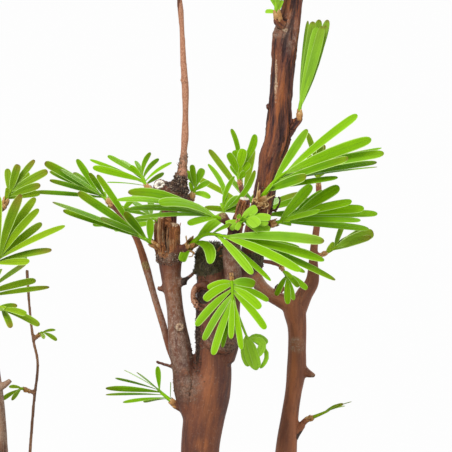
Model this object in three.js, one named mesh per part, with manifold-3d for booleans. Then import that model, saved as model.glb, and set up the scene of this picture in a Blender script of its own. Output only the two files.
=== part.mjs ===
// Dawn redwood bonsai: three young trees planted as a group in one plain stoneware tray.
// Units are millimetres. +X runs to the right seen from the front, +Y to the back, +Z up.
// The origin is under the middle of the pot, on the surface that its feet stand on.

import * as THREE from "three";
import { mergeVertices } from "three/addons/utils/BufferGeometryUtils.js";
import Module from "manifold-3d";

const wasm = await Module();
wasm.setup();

// Driving sizes
const GAP = 0.35; // clearance between pieces that touch
const MERGE = 1e-4; // vertices closer than this are one
const GRID = 0.005; // finished vertices lie on this grid, which closes the slivers left by joining
const POT = {
  halfLength: 115,
  halfWidth: 78,
  height: 40,
  footHeight: 6,
  floor: 5,
  wall: 5,
  lip: 3,
  lipHeight: 8,
  batter: 13, // how far the wall leans out from foot to lip
  bevel: 1.2,
  squareness: 4.5, // 2 is an ellipse, higher is nearer a rectangle
  core: 60, // the floor inside this radius is scaled, the rest keeps its distance to the wall
  sides: 24,
};
const FOOT = { length: 30, width: 14, inset: [74, 43], corner: 4, cornerSteps: 2, sunk: 1 };
const DRAIN = { radius: 8, offset: 45, sides: 12 };
const SCREEN = { side: 24, thickness: 0.8, hole: 9, pitch: 11 };
const SOIL = { edge: 33, crown: 5, collar: 3.5, collarReach: 15, rings: [1, 0.7, 0.35, 0] };
const LIMB = {
  thick: 2, // a limb with a wider radius than this has more sides than a twig
  sides: { trunk: 8, thick: 6, thin: 5, root: 4 },
  ridges: 3,
  ridgeTwist: 0.7, // turn of the ridges from one station to the next, in radians
  barkRidge: 0.06, // height of the ridges as a share of the radius
};
const ROOT = {
  rise: 24, // a surface root leaves the trunk this far above the foot
  bend: 0.3,
  shorter: 0.12,
  lengths: 3,
  // share of the reach, share of the rise, share of the radius
  stations: [[0.1, 1, 1], [0.42, 0.8, 0.85], [0.75, 0.6, 0.6], [1, 0.32, 0.3]],
};
const STALK = { start: 0.72, end: 0.42, sides: 4, leafy: 0.9 }; // leafy is the share that bears leaflets
const BLADE = {
  thickness: 0.7,
  stout: 0.3, // the narrow root keeps this much more of the thickness than of the width
  // place along the blade, then share of its full width
  full: [[0, 0.22], [0.4, 0.92], [0.86, 1], [1, 0]],
  plain: [[0, 0.25], [0.6, 1], [1, 0]],
};
const BUD = { radius: 0.95, sides: 4, neck: 1.3, swell: 1.1, end: 0.75 };

// Finishes
const finish = (color, roughness, metalness = 0) => ({ color, roughness, metalness });
const STONEWARE = finish("#6a4a38", 0.8);
const GRIT = finish("#4b3d30", 0.95);
const MESH_PLASTIC = finish("#26302a", 0.7);
const CENTRAL_BARK = finish("#7d5037", 0.85);
const RIGHT_BARK = finish("#744a30", 0.85);
const LEFT_BARK = finish("#6f4a38", 0.85);
const FRESH_GREEN = finish("#86bd2c", 0.5);
const DEEP_GREEN = finish("#5f8f1c", 0.5);

// Solids
const vector = ([x, y, z]) => new THREE.Vector3(x, y, z);

const solid = (geometry) => {
  geometry.deleteAttribute("normal");
  geometry.deleteAttribute("uv");
  const merged = mergeVertices(geometry, MERGE);
  const corners = [];
  for (let i = 0; i < merged.index.count; i += 3) {
    const triangle = [0, 1, 2].map((k) => merged.index.getX(i + k));
    if (new Set(triangle).size === 3) {
      corners.push(...triangle);
    }
  }
  return new wasm.Manifold(
    new wasm.Mesh({
      numProp: 3,
      vertProperties: new Float32Array(merged.attributes.position.array),
      triVerts: new Uint32Array(corners),
    }),
  );
};

const joined = (solids) => wasm.Manifold.union(solids);

const reshape = (geometry, place) => {
  const spots = geometry.attributes.position;
  for (let i = 0; i < spots.count; i += 1) {
    const moved = place(spots.getX(i), spots.getY(i), spots.getZ(i));
    spots.setXYZ(i, moved.x, moved.y, moved.z);
  }
  return geometry;
};

// One body only: scraps that a cut leaves loose are dropped.
const largest = (body) => {
  const parts = body.decompose();
  return parts.reduce((best, part) => (part.volume() > best.volume() ? part : best));
};

// The facets of a body with every vertex on the grid. Facets that fold onto each other are dropped.
const gridded = (body) => {
  const { vertProperties, triVerts } = body.getMesh();
  const numbers = new Map();
  const spots = [];
  const numberOf = (vertex) => {
    const spot = [0, 1, 2].map((k) => Math.round(vertProperties[vertex * 3 + k] / GRID));
    const key = spot.join();
    if (!numbers.has(key)) {
      numbers.set(key, numbers.size);
      spots.push(...spot.map((value) => value * GRID));
    }
    return numbers.get(key);
  };
  const facets = new Map();
  for (let i = 0; i < triVerts.length; i += 3) {
    const facet = [0, 1, 2].map((k) => numberOf(triVerts[i + k]));
    const key = facet.toSorted((one, two) => one - two).join();
    if (facets.has(key)) {
      facets.delete(key);
    } else if (new Set(facet).size === 3) {
      facets.set(key, facet);
    }
  }
  const mesh = new wasm.Mesh({
    numProp: 3,
    vertProperties: new Float32Array(spots),
    triVerts: new Uint32Array([...facets.values()].flat()),
  });
  return new wasm.Manifold(mesh);
};

const piece = (name, body, look) => {
  const { vertProperties, triVerts } = largest(gridded(body)).getMesh();
  const geometry = new THREE.BufferGeometry();
  geometry.setAttribute("position", new THREE.BufferAttribute(vertProperties, 3));
  geometry.setIndex(new THREE.BufferAttribute(triVerts, 1));
  geometry.computeVertexNormals();
  const mesh = new THREE.Mesh(geometry, new THREE.MeshStandardMaterial(look));
  mesh.name = name;
  return mesh;
};

// Directions that a limb's first spoke takes: to the front, or to the right where the limb runs frontward.
const FRONTWARD = new THREE.Vector3(0, -1, 0.01);
const RIGHTWARD = new THREE.Vector3(1, 0, 0.01);
const NEAR_PARALLEL = 0.8;

// A tapered limb through its stations [x, y, z, radius], with low ridges winding up it.
const limb = (stations, { sides, ridge = 0, swell = 0 }) => {
  const curve = new THREE.CatmullRomCurve3(stations.map(vector));
  const steps = stations.length - 1;
  const rings = stations.map((station, i) => {
    const along = curve.getTangent(i / steps);
    return { center: vector(station), along, radius: station[3] + swell };
  });
  let across = Math.abs(rings[0].along.y) > NEAR_PARALLEL ? RIGHTWARD : FRONTWARD;
  for (const ring of rings) {
    across = across.clone().addScaledVector(ring.along, -across.dot(ring.along)).normalize();
    ring.across = across;
    ring.other = across.clone().cross(ring.along);
  }
  const tube = new THREE.CylinderGeometry(1, 1, 1, sides, steps);
  return solid(
    reshape(tube, (x, y, z) => {
      const step = Math.round((y + 0.5) * steps);
      const ring = rings[step];
      const wave = 1 + ridge * Math.sin(LIMB.ridges * Math.atan2(z, x) + LIMB.ridgeTwist * step);
      return ring.center
        .clone()
        .addScaledVector(ring.across, x * ring.radius * wave)
        .addScaledVector(ring.other, z * ring.radius * wave);
    }),
  );
};

// A leaflet: flat above, keeled below, pointed, on a bowed midline from root to tip.
// It is a three-sided cone: the corners of a ring at z = -0.5 are its edges, the one at z = 1 its keel.
const blade = (root, tip, bow, width, face, stations) => {
  const middle = root.clone().lerp(tip, 0.5).add(bow);
  const midline = new THREE.QuadraticBezierCurve3(root, middle, tip);
  const steps = stations.length - 1;
  const cone = new THREE.ConeGeometry(1, 1, 3, steps);
  return solid(
    reshape(cone, (x, y, z) => {
      const step = Math.round((y + 0.5) * steps);
      const [place, share] = stations[step];
      const shrink = 1 - step / steps || 1;
      const along = midline.getTangent(place);
      const keel = face.clone().negate();
      keel.addScaledVector(along, -keel.dot(along)).normalize();
      const sideways = along.clone().cross(keel);
      const offside = x / shrink / Math.sin(Math.PI / 3);
      const depth = THREE.MathUtils.inverseLerp(-0.5, 1, z / shrink);
      const thickness = share && BLADE.thickness * Math.min(1, share + BLADE.stout);
      return midline
        .getPoint(place)
        .addScaledVector(sideways, (offside * share * width) / 2)
        .addScaledVector(keel, depth * thickness);
    }),
  );
};

// Sprays
// A spray has a root in its tree's wood, a base where its green shoot leaves the bud, the route of that
// shoot and its leaflets. The shoot and the leaflet tips are offsets from the base, to the right, to the
// back and up. A leaflet is [place along the shoot, tip x, y, z, width, bow to the right, bow up].
const shootCurve = ({ stem }) => new THREE.CatmullRomCurve3([[0, 0, 0], ...stem].map(vector));

const sprayBody = (spray) => {
  const base = vector(spray.base);
  const curve = shootCurve(spray);
  const count = spray.stem.length;
  const stalk = [[0, 0, 0], ...spray.stem].map(([x, y, z], i) => [
    base.x + x,
    base.y + y,
    base.z + z,
    THREE.MathUtils.lerp(STALK.start, STALK.end, i / count),
  ]);
  const face = vector(spray.face).normalize();
  const leaflets = spray.leaves.map(([place, x, y, z, width, bowX = 0, bowZ = 0.5]) => {
    const root = curve.getPoint(place * STALK.leafy).add(base);
    const tip = new THREE.Vector3(x, y, z).add(base);
    return blade(root, tip, new THREE.Vector3(bowX, 0, bowZ), width, face, spray.blades ?? BLADE.full);
  });
  return joined([limb(stalk, { sides: STALK.sides }), ...leaflets]);
};

// The woody bud that a spray grows from ends just short of the green shoot, in line with it.
const budBody = (spray) => {
  const base = vector(spray.base);
  const heading = shootCurve(spray).getTangent(0);
  const radius = BUD.radius * (spray.bud ?? 1);
  const neck = base.clone().addScaledVector(heading, -BUD.neck);
  const end = base.clone().addScaledVector(heading, -GAP);
  return limb(
    [
      [...spray.root, radius],
      [...neck.toArray(), radius * BUD.swell],
      [...end.toArray(), radius * BUD.end],
    ],
    { sides: BUD.sides },
  );
};

const TO_VIEWER = [0, -1, 0.25];
const TO_SKY = [0, -0.82, 0.57];
const HALF_UP = [0, -0.9, 0.43];

const seenSprays = [
  {
    name: "spray_left_upper",
    tree: "central",
    root: [-6, -0.5, 162.5],
    base: [-9.6, -3, 164.2],
    stem: [[-2.4, -1.2, 1.6], [-4.8, -2, 3.2]],
    face: TO_SKY,
    leaves: [
      [0.9, -19.1, -6, 13.3, 2.2],
      [0.7, -25.5, -8, 10.7, 2],
      [0.5, -23.1, -4, 8.6, 1.8],
      [1, -14.3, -3, 17.9, 1.5],
      [0.35, -7.2, -6, 8.1, 2.4],
      [0.15, -0.6, -2, 6.5, 1.8],
      [0.8, -13, -10, 6.5, 2],
    ],
  },
  {
    name: "spray_left_tip",
    tree: "central",
    root: [-20, 8, 173.6],
    base: [-21.4, 8.4, 175.2],
    stem: [[-1.8, 0.6, 1.4], [-3.8, 1, 2.4]],
    face: TO_SKY,
    blades: BLADE.plain,
    leaves: [
      [1, -17.2, 0, 10.4, 2.4],
      [0.8, -16.2, 4, 8.1, 1.8],
      [0.6, -15.7, -3, 5.6, 1.9],
      [0.4, -20, 2, 2.6, 1.5],
      [0.9, -8.8, 2, 11.4, 2],
      [0.3, -5.2, -3, 7.6, 1.5],
      [0.7, -10, 8, 8, 1.9],
      [0.5, -12.6, -6, 8.4, 1.8],
    ],
  },
  {
    name: "spray_stump_back",
    tree: "central",
    root: [-7, 3, 176.5],
    base: [-11.2, 6.6, 178.8],
    stem: [[-1, 1, 1.6], [-1.6, 1.8, 3.4]],
    face: HALF_UP,
    blades: BLADE.plain,
    leaves: [
      [0.9, -10.8, 2, 8.6, 2.4],
      [1, -7.4, 5, 7.6, 1.9],
      [0.7, -4.9, 2.5, 5.9, 1.8],
      [1, -3.4, 6, 7.4, 1.7],
      [1, 0.6, 7, 9.6, 1.4, -1.4, 0.4],
      [0.8, 2.8, 8, 7.9, 1.4, -1.2, 0.6],
      [0.5, 6.2, 8.5, 7, 1.3, -0.8, 0.8],
      [0.3, 4.2, 6.4, 3.9, 1.6],
      [0.6, -14.6, -1, 5.4, 2],
      [0.4, -15.6, 4, 7.6, 1.3],
      [0.2, -10.7, -3, 1.4, 1.5],
      [0.15, -6.4, -0.5, -5.6, 1.6],
    ],
  },
  {
    name: "spray_front_left",
    tree: "central",
    root: [10.8, -8, 168],
    base: [8.2, -11.6, 170.6],
    stem: [[-2.2, -1.4, 0.6], [-4.4, -2.4, 1]],
    face: TO_SKY,
    leaves: [
      [1, -23.4, -13, 6.5, 2.6],
      [0.9, -26.5, -8, 4.7, 2.3],
      [0.75, -23.7, -5, 2.4, 2.2],
      [0.6, -21.8, -9, 0.1, 1.5],
      [0.5, -15.6, -16, 3.8, 2.5],
      [0.35, -14.5, -1.5, 4.4, 2],
      [0.2, -8.6, -8.5, -1.4, 1.8],
    ],
  },
  {
    name: "spray_stump_right",
    tree: "central",
    root: [-3, 1.4, 176],
    base: [0.4, 3.2, 176.6],
    stem: [[0.7, 0.6, 1.3], [1.1, 1, 2.8]],
    face: TO_VIEWER,
    blades: BLADE.plain,
    leaves: [
      [0.8, 0, 0.6, 8.4, 1.6],
      [1, 3, 1.6, 7.4, 2.1],
      [0.6, 4.8, 0, 3.8, 1.6],
      [0.2, 5, -1.6, -0.6, 1.7, 0, 1.4],
      [0.9, -1.6, 3.4, 7, 1.7],
    ],
  },
  {
    name: "spray_middle",
    tree: "central",
    root: [11.2, -6.5, 168.6],
    base: [8.8, -3.2, 172.4],
    stem: [[-0.2, 0.5, 1.6], [0, 1, 3.2]],
    face: TO_VIEWER,
    leaves: [
      [1, -3.9, 3.4, 12.6, 1.7, 2.2, 0.6],
      [0.8, 2.9, 3.2, 9.6, 1.8],
      [0.5, 8.3, -2.6, 10.6, 2.4, -0.4, 0.6],
      [0.25, 4.6, -1.2, 3, 2.2],
      [0.9, -0.6, 5, 9.4, 1.7],
      [0.35, -4.6, -0.4, 3.6, 2],
    ],
  },
  {
    name: "spray_behind_leader",
    tree: "central",
    root: [15.5, 2.5, 172],
    base: [13, 9.6, 180.4],
    stem: [[-0.4, 0.8, 1.8], [-0.4, 1.4, 3.8]],
    face: HALF_UP,
    blades: BLADE.plain,
    leaves: [
      [0.7, -3.4, 1, 7.6, 2.2],
      [1, -2.8, 3.6, 14.2, 1.5, 1.2, 0.3],
      [0.6, 0.9, -0.6, 8.6, 1.8],
      [1, 3.8, 4, 12.4, 1.7],
      [0.35, 5.2, 2.6, 6.6, 1.9],
      [0.5, -5, 5.4, 8.8, 1.9],
      [0.2, -6.4, 2, 3.2, 1.9],
      [0.9, 0.4, 7, 10.6, 1.8],
    ],
  },
  {
    name: "spray_upright_tuft",
    tree: "central",
    root: [26.6, 0, 194.2],
    base: [28.5, 0, 198],
    stem: [[0.1, 0, 2], [0.5, 0, 4.4]],
    face: TO_VIEWER,
    leaves: [
      [1, 7.4, 0.4, 24.6, 2.1, 0.6, 0],
      [0.8, 5.3, 2, 24.8, 2, 0.4, 0],
      [0.7, 3.9, -1.4, 24, 2.2, 0.2, 0],
      [0.5, 2.2, 1, 24.4, 1.4, -0.3, 0],
      [0.6, 5.6, -3, 22, 2.2, 0.6, 0],
      [0.3, 2.8, -2.6, 17.4, 2, 0.3, 0],
      [0.4, 6.4, -1, 19.4, 1.9, 1, 0],
    ],
  },
  {
    name: "spray_right_high",
    tree: "central",
    root: [17.6, -0.2, 174],
    base: [19.2, -4.2, 176.6],
    stem: [[2, -1, 2.8], [4.6, -1.6, 5.6], [7.4, -1.8, 7.6]],
    face: TO_SKY,
    bud: 1.3,
    leaves: [
      [0.55, 11.2, -2, 17.2, 2],
      [1, 24, -4, 20.8, 2.4, 0, 1],
      [1, 18.2, 1, 16.8, 1.6],
      [0.9, 27.4, -7, 14.4, 2.4, 0, 1],
      [0.8, 30.6, 1, 12.4, 1.5, 0, 1],
      [0.95, 30.8, -5, 10.8, 2.4, 0, 1.2],
      [0.7, 29.2, -1.5, 8.6, 2, 0, 0.8],
      [0.6, 28.8, -9, 7.2, 1.5, 0, 0.8],
      [0.5, 21.4, -9.4, 9.4, 2.3, 0, 0.8],
      [0.3, 10.8, -7.6, 4.8, 2.3],
      [0.4, 10.2, 0.6, 6.4, 1.8],
      [0.35, 19, -5, 4.6, 1.5],
    ],
  },
  {
    name: "spray_right_low",
    tree: "central",
    root: [16.6, 1, 168],
    base: [21.6, 2, 169.4],
    stem: [[2.2, -0.2, 0.6], [4.6, -0.4, 1.8], [6.8, -0.6, 2.8]],
    face: TO_SKY,
    leaves: [
      [0.3, 10.2, -0.4, 10.2, 2.3],
      [0.8, 13.4, 3, 8.7, 1.5],
      [1, 17.4, -2.4, 9.6, 2.4],
      [0.9, 20.5, -5, 5.7, 2.2],
      [1, 23.9, -1.4, 3.9, 2],
      [0.8, 27.6, 2, 2.6, 2],
      [0.4, 12, -7.4, 3.2, 2.2],
      [0.6, 19.5, 5.4, 4.6, 1.6],
      [0.5, 22.9, -3, 0.8, 1.8],
      [0.35, 25.3, 3.4, -1.4, 1.9],
    ],
  },
  {
    name: "spray_front_small",
    tree: "central",
    root: [11.6, -8.4, 168],
    base: [12.8, -12, 169.6],
    stem: [[0.8, -1.2, 0.6], [1.8, -2.6, 1]],
    face: TO_SKY,
    leaves: [
      [0.4, 5.2, -2.4, 4.8, 1.9],
      [1, 2.6, -9, 0.6, 2.2],
      [0.9, 9.2, -6.4, 2.4, 2.1],
      [0.8, 8.8, -8, -0.2, 2],
      [1, 6, -10, 2.2, 2.1],
      [0.6, -1.4, -8, 1.8, 1.9],
    ],
  },
  {
    name: "spray_front_right",
    tree: "central",
    root: [-3, -1.4, 162],
    base: [0.2, -5.4, 163.8],
    stem: [[3.2, -4, 2.6], [6.8, -7.4, 2.8], [9.8, -9.8, 2]],
    face: TO_SKY,
    bud: 1.3,
    leaves: [
      [1, 33.9, -17, 1.1, 2.8, 0, 1.6],
      [0.85, 23.7, -8.6, -2, 2],
      [0.9, 27.9, -10.6, -0.5, 1.9],
      [1, 27.9, -19.5, -6.4, 3, 0, 1.6],
      [0.95, 29.2, -13.6, -6.8, 1.9, 0, 1],
      [0.9, 34.1, -13, -3.8, 2.6, 0, 1.6],
      [0.7, 31.7, -7.6, -2.2, 1.5, 0, 1],
      [0.8, 37, -10.6, -8.8, 2.2, 0, 2.4],
      [0.75, 15.9, -16, -7.2, 2.2, 0, 1],
      [0.65, 20.6, -12, -9, 1.5, 0, 1.4],
      [0.35, 5.5, -8.6, -5.1, 3, 0, 2],
      [0.3, 7.2, -4.2, 7, 2.3],
      [0.6, 10.4, -10.6, 5.4, 2],
    ],
  },
  {
    name: "spray_hanging_fan",
    tree: "central",
    root: [11.2, -8, 156.6],
    base: [10.8, -11.4, 155],
    stem: [[0.2, -1.2, -2.6], [0.2, -2.2, -5.2]],
    face: TO_VIEWER,
    leaves: [
      [0.1, -6.3, -1, -2.2, 1.7, 0, 1],
      [0.25, -7.1, -2.4, -5.2, 2.2, -0.6, 1.2],
      [0.5, -9.2, -3.4, -11.7, 2.1, -0.8, 0.8],
      [0.75, -7.2, -4.6, -15.3, 2.1, -0.6, 0.6],
      [1, -4.8, -5.2, -19, 2, -0.4, 0.3],
      [0.8, -2.4, -2.2, -17.3, 1.4],
      [0.95, -0.2, -5.4, -14.9, 1.6],
      [0.7, 1.2, -3.6, -13.8, 1.5],
      [1, 2.5, -4.8, -17.7, 1.7, 0.3, 0.3],
      [0.6, 8.7, -4.2, -12.5, 2, 0.8, 0.6],
      [0.4, 7.4, -3, -7.3, 2.3, 0.8, 0.8],
      [0.3, 9.5, -1.8, -5.4, 1.7, 0.8, 1],
      [0.15, 6.1, -1.4, -1.2, 2.5, 0, 0.9],
    ],
  },
  {
    name: "spray_curled",
    tree: "central",
    root: [11, -3.4, 147],
    base: [14.4, -5.4, 141],
    stem: [[0.5, -0.2, -1.3], [1.2, -0.4, -2.4]],
    face: [-0.6, -0.8, 0],
    bud: 0.6,
    leaves: [
      [0.6, 5.2, -1, -7, 2.2, 2.6, 1.6],
      [0.9, 1.6, -1.8, -9.4, 2.2, -2.2, 0],
      [1, 4, -2.8, -8.6, 2, 1.4, 0],
      [0.4, 5.6, 1, -4.6, 2, 1.6, 1.8],
      [0.8, 2.8, 1.8, -8.8, 1.9, -1, 0],
    ],
  },
  {
    name: "spray_trunk_left",
    tree: "central",
    root: [0, 0, 120.6],
    base: [-4.4, 0.6, 122.8],
    stem: [[-2.2, 0.4, 1.8], [-4.4, 0.8, 3.8]],
    face: TO_SKY,
    blades: BLADE.plain,
    leaves: [
      [0.8, -17.7, -1, 3.8, 1.7],
      [0.6, -17.9, 3.4, 1.8, 1.6],
      [1, -13, 2, 8.4, 2],
      [0.9, -4.1, 0.8, 9.6, 1.5],
      [0.2, -0.6, -1.4, 5.6, 1.7],
      [0.95, -15.5, 5.6, 6, 1.5],
      [0.7, -9.5, -3.4, 8.2, 1.5],
      [0.4, -13, -5, 0.4, 1.6],
      [0.3, -8, 4, -0.2, 1.6],
    ],
  },
  {
    name: "spray_right_hanging",
    tree: "central",
    root: [17.4, 2.6, 160],
    base: [24.2, 7.6, 157.4],
    stem: [[0.8, 0.5, -1.2], [1.4, 1, -2.6]],
    face: TO_VIEWER,
    bud: 0.6,
    blades: BLADE.plain,
    leaves: [
      [1, 1.4, 0, -9.4, 1.9],
      [0.7, 3.2, 2.2, -8.4, 1.8],
      [0.5, 6.8, 2, -5.4, 1.8],
      [0.3, 4.4, -1.4, -4.8, 1.5],
      [0.8, -1.8, 1, -7.2, 1.6],
    ],
  },
  {
    name: "spray_leader_left",
    tree: "central",
    root: [25, 0, 220.6],
    base: [22.6, -3.2, 223.4],
    stem: [[-0.3, -0.4, 1.8], [-0.4, -0.8, 3.6]],
    face: TO_VIEWER,
    blades: BLADE.plain,
    leaves: [
      [1, -1.8, -1.4, 14, 2.2],
      [0.7, 0.6, -2.6, 16, 2.2],
      [0.8, 2.2, -0.8, 14.8, 2],
      [0.5, -4.2, -1, 11, 1.9],
      [0.4, 1.4, -4.6, 11.6, 2],
    ],
  },
  {
    name: "spray_right_tree_top",
    tree: "right",
    root: [34.6, 28, 177],
    base: [34.5, 28, 181.2],
    stem: [[-0.1, 0, 2], [-0.1, 0, 4.4]],
    face: HALF_UP,
    bud: 0.8,
    blades: BLADE.plain,
    leaves: [
      [1, -3, 1.6, 13.2, 1.7],
      [0.9, 1.6, 1.4, 10, 1.8],
      [0.4, -3.4, -2, 7.8, 2],
      [0.6, 3.8, 0.6, 8, 1.8],
      [0.8, 0.6, -2.6, 11, 1.9],
      [0.3, -4, 2.6, 5.6, 1.6],
      [0.2, 4, -1.2, 4.2, 1.6],
    ],
  },
  {
    name: "spray_right_tree_side",
    tree: "right",
    root: [33.2, 28, 160.4],
    base: [36.4, 27.4, 161.4],
    stem: [[1.6, -0.4, 0.8], [3.4, -0.8, 2]],
    face: TO_SKY,
    bud: 0.7,
    blades: BLADE.plain,
    leaves: [
      [1, 13.2, -1, 6.6, 2.6, 0, 1],
      [0.8, 6, 1.8, 7.6, 1.7],
      [0.9, 12.4, 3, 8, 1.8],
      [0.6, 12, -5, 4.2, 2.2],
      [0.5, 8.4, 3.6, 2.6, 1.8],
      [0.3, 6.4, -5.6, 1, 1.8],
    ],
  },
  {
    name: "spray_right_tree_low",
    tree: "right",
    root: [28.2, 28, 113],
    base: [32.6, 27.6, 116.6],
    stem: [[2.4, -0.4, 1], [5, -0.8, 2.2]],
    face: TO_SKY,
    bud: 0.8,
    blades: BLADE.plain,
    leaves: [
      [1, 10.2, -1.6, 4.4, 1.8],
      [0.8, 8.2, -4, 4, 1.6],
      [0.7, 7.6, 3, 2.6, 1.6],
      [0.4, 4.8, -3, 4.2, 1.5],
      [0.3, 5.4, 2.4, -1, 1.5],
    ],
  },
  {
    name: "spray_left_tree_front",
    tree: "left",
    root: [-55.4, 4.6, 155],
    base: [-51.6, -1.4, 158.4],
    stem: [[1.4, -2, 1], [2.8, -3.4, 2.4]],
    face: TO_SKY,
    blades: BLADE.plain,
    leaves: [
      [1, 8.6, -8, 18.6, 2.4, -1, 1],
      [0.9, 12, -4.6, 17.8, 2.1, -1, 1],
      [0.8, 13.2, -8, 14.8, 2, -1, 1],
      [0.7, 13.6, -3, 11.2, 2, 0, 1],
      [0.9, 20, -9, 10.4, 2.2, 0, 1.4],
      [0.6, 2.4, -5, 18.4, 2.2],
      [0.5, 16.4, -6.4, 4.2, 2, 0, 1],
      [0.4, 11, -11, 1.2, 1.9],
      [0.3, 9.6, -0.6, 2.2, 1.8],
      [0.75, 3, -13, 10, 2],
    ],
  },
  {
    name: "spray_left_tree_drooping",
    tree: "left",
    root: [-54.8, 5.2, 147],
    base: [-51.2, 0.4, 147.6],
    stem: [[1.6, -1.8, -0.2], [3.2, -3.4, -0.8]],
    face: TO_SKY,
    blades: BLADE.plain,
    leaves: [
      [1, 12.6, -5, -4.6, 2, 0, 1.4],
      [0.8, 9.4, -8.4, -1.6, 1.9, 0, 1],
      [0.6, 9.8, -1.4, -3.2, 1.8, 0, 1],
      [0.4, 3, -8.6, -0.6, 1.8],
      [0.3, 6.4, 0.6, 0.4, 1.7],
      [0.9, 5.6, -10, -5, 1.8, 0, 1.2],
    ],
  },
  {
    name: "spray_left_tree_high",
    tree: "left",
    root: [-57.6, 3.8, 171],
    base: [-48.2, 2.4, 175],
    stem: [[0.8, -0.2, 1.6], [1.6, -0.4, 3.4]],
    face: HALF_UP,
    blades: BLADE.plain,
    leaves: [
      [0.8, 3.5, -1, 10, 2],
      [1, 7.6, 1.4, 11.2, 1.5],
      [0.9, 11.2, -0.4, 8.2, 2],
      [0.6, 5.8, 4, 8, 1.8],
      [0.5, 9.6, -4, 4.4, 1.9],
      [0.7, 0.2, 3, 9, 1.7],
      [0.3, 9, 3, 2.4, 1.7],
    ],
  },
  {
    name: "spray_whip_upper",
    tree: "left",
    root: [-42.6, 22, 138.2],
    base: [-40.8, 21, 139.6],
    stem: [[0.6, -0.6, 0.5], [1.2, -1.2, 0.6]],
    face: TO_SKY,
    bud: 0.6,
    blades: BLADE.plain,
    leaves: [
      [1, 5, -2.6, -1.6, 1.7],
      [0.6, 1.6, -5.6, -1, 1.7],
      [0.5, 4.4, 1, 1.2, 1.6],
    ],
  },
  {
    name: "spray_whip_lower",
    tree: "left",
    root: [-42.6, 21.6, 124],
    base: [-44.8, 20.6, 124.8],
    stem: [[-0.7, -0.5, 0.3], [-1.6, -1, 0]],
    face: TO_SKY,
    bud: 0.6,
    blades: BLADE.plain,
    leaves: [
      [1, -6.4, -2, -3, 1.8],
      [0.6, -3, -5.6, -2.6, 1.7],
      [0.4, -4.6, 2.4, 0.6, 1.6],
    ],
  },
];

// Sprays out of view carry leaflets in opposite pairs that close towards the tip of the shoot.
const SHOOT = {
  length: 9,
  places: [0.2, 0.85], // of the first and the last pair along the shoot
  angles: [70, 30], // between shoot and leaflet at the first and the last pair
  leaf: [12, 18], // least and greatest length of a leaflet
  width: [1.7, 2.2],
  turn: [-0.15, 0.15], // in radians
  lift: [-0.044, 0.308], // rise of the tip as a share of the leaflet's length
  crown: 12, // length of the last leaflet, which runs on from the shoot
  crownWidth: 2,
  upright: 0.9, // a shoot whose heading rises by more than this has its face to the front
};

// Lehmer's generator, so that every build draws the same numbers.
const LEHMER = { factor: 16807, modulus: 2147483647 };
const drawer = (seed) => {
  let state = seed;
  return ([least, greatest]) => {
    state = (state * LEHMER.factor) % LEHMER.modulus;
    return THREE.MathUtils.lerp(least, greatest, state / LEHMER.modulus);
  };
};

const pairedLeaves = (heading, face, pairs, draw) => {
  const across = heading.clone().cross(face).normalize();
  const lift = across.clone().cross(heading).normalize();
  const leaves = [];
  for (let i = 0; i < pairs; i += 1) {
    const rise = i / (pairs - 1);
    const place = THREE.MathUtils.lerp(...SHOOT.places, rise);
    const angle = THREE.MathUtils.degToRad(THREE.MathUtils.lerp(...SHOOT.angles, rise));
    for (const side of [-1, 1]) {
      const reach = draw(SHOOT.leaf);
      const turn = angle + draw(SHOOT.turn);
      const tip = heading
        .clone()
        .multiplyScalar(SHOOT.length * place + reach * Math.cos(turn))
        .addScaledVector(across, side * reach * Math.sin(turn))
        .addScaledVector(lift, reach * draw(SHOOT.lift));
      leaves.push([place, ...tip.toArray(), draw(SHOOT.width)]);
    }
  }
  const crown = heading.clone().multiplyScalar(SHOOT.length + SHOOT.crown);
  leaves.push([1, ...crown.toArray(), SHOOT.crownWidth]);
  return leaves;
};

// Name, tree, root in the wood, heading of the shoot, distance from root to base, pairs and seed.
const hiddenShoots = [
  ["spray_leader_1", "central", [28, 1, 238], [0.75, -0.45, 0.5], 4.2, 3, 11],
  ["spray_leader_2", "central", [28, 1.2, 249], [-0.8, 0.2, 0.55], 3.8, 3, 12],
  ["spray_leader_3", "central", [27.7, 1.5, 256], [0.45, 0.85, 0.3], 3.4, 3, 13],
  ["spray_leader_4", "central", [28.2, 2, 266], [0.8, -0.1, 0.6], 3, 3, 14],
  ["spray_leader_5", "central", [29, 2, 275], [-0.6, -0.6, 0.6], 2.8, 3, 15],
  ["spray_leader_top", "central", [29, 2, 283], [0, 0.05, 1], 3.2, 2, 16],
  ["spray_shoot_top", "central", [-3.6, 0, 259], [-0.15, -0.1, 1], 4, 3, 17],
  ["spray_shoot_side", "central", [-3.2, 0, 238], [-0.75, -0.65, 0.3], 2.4, 3, 18],
  ["spray_back_stump", "central", [-6, 3, 168], [-0.4, 0.9, 0.3], 4.6, 3, 19],
  ["spray_back_leader", "central", [16.2, 2, 170], [0.3, 0.9, 0.25], 4, 3, 20],
  ["spray_right_tree_fork", "right", [16.2, 29.4, 168], [-0.2, 0.5, 0.9], 3.2, 3, 22],
  ["spray_left_tree_top", "left", [-66, 3, 204], [-0.3, 0.1, 1], 3.4, 3, 24],
  ["spray_left_tree_1", "left", [-53.4, 6, 133], [-0.9, 0.1, 0.4], 4.4, 3, 25],
  ["spray_left_tree_2", "left", [-56.8, 4, 166], [-0.85, -0.35, 0.45], 3.8, 3, 26],
  ["spray_left_tree_3", "left", [-61.2, 3.2, 188], [-0.6, 0.6, 0.55], 3, 3, 27],
  ["spray_left_tree_4", "left", [-54.7, 5.4, 148], [0.1, 0.9, 0.35], 4.2, 3, 28],
];

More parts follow.
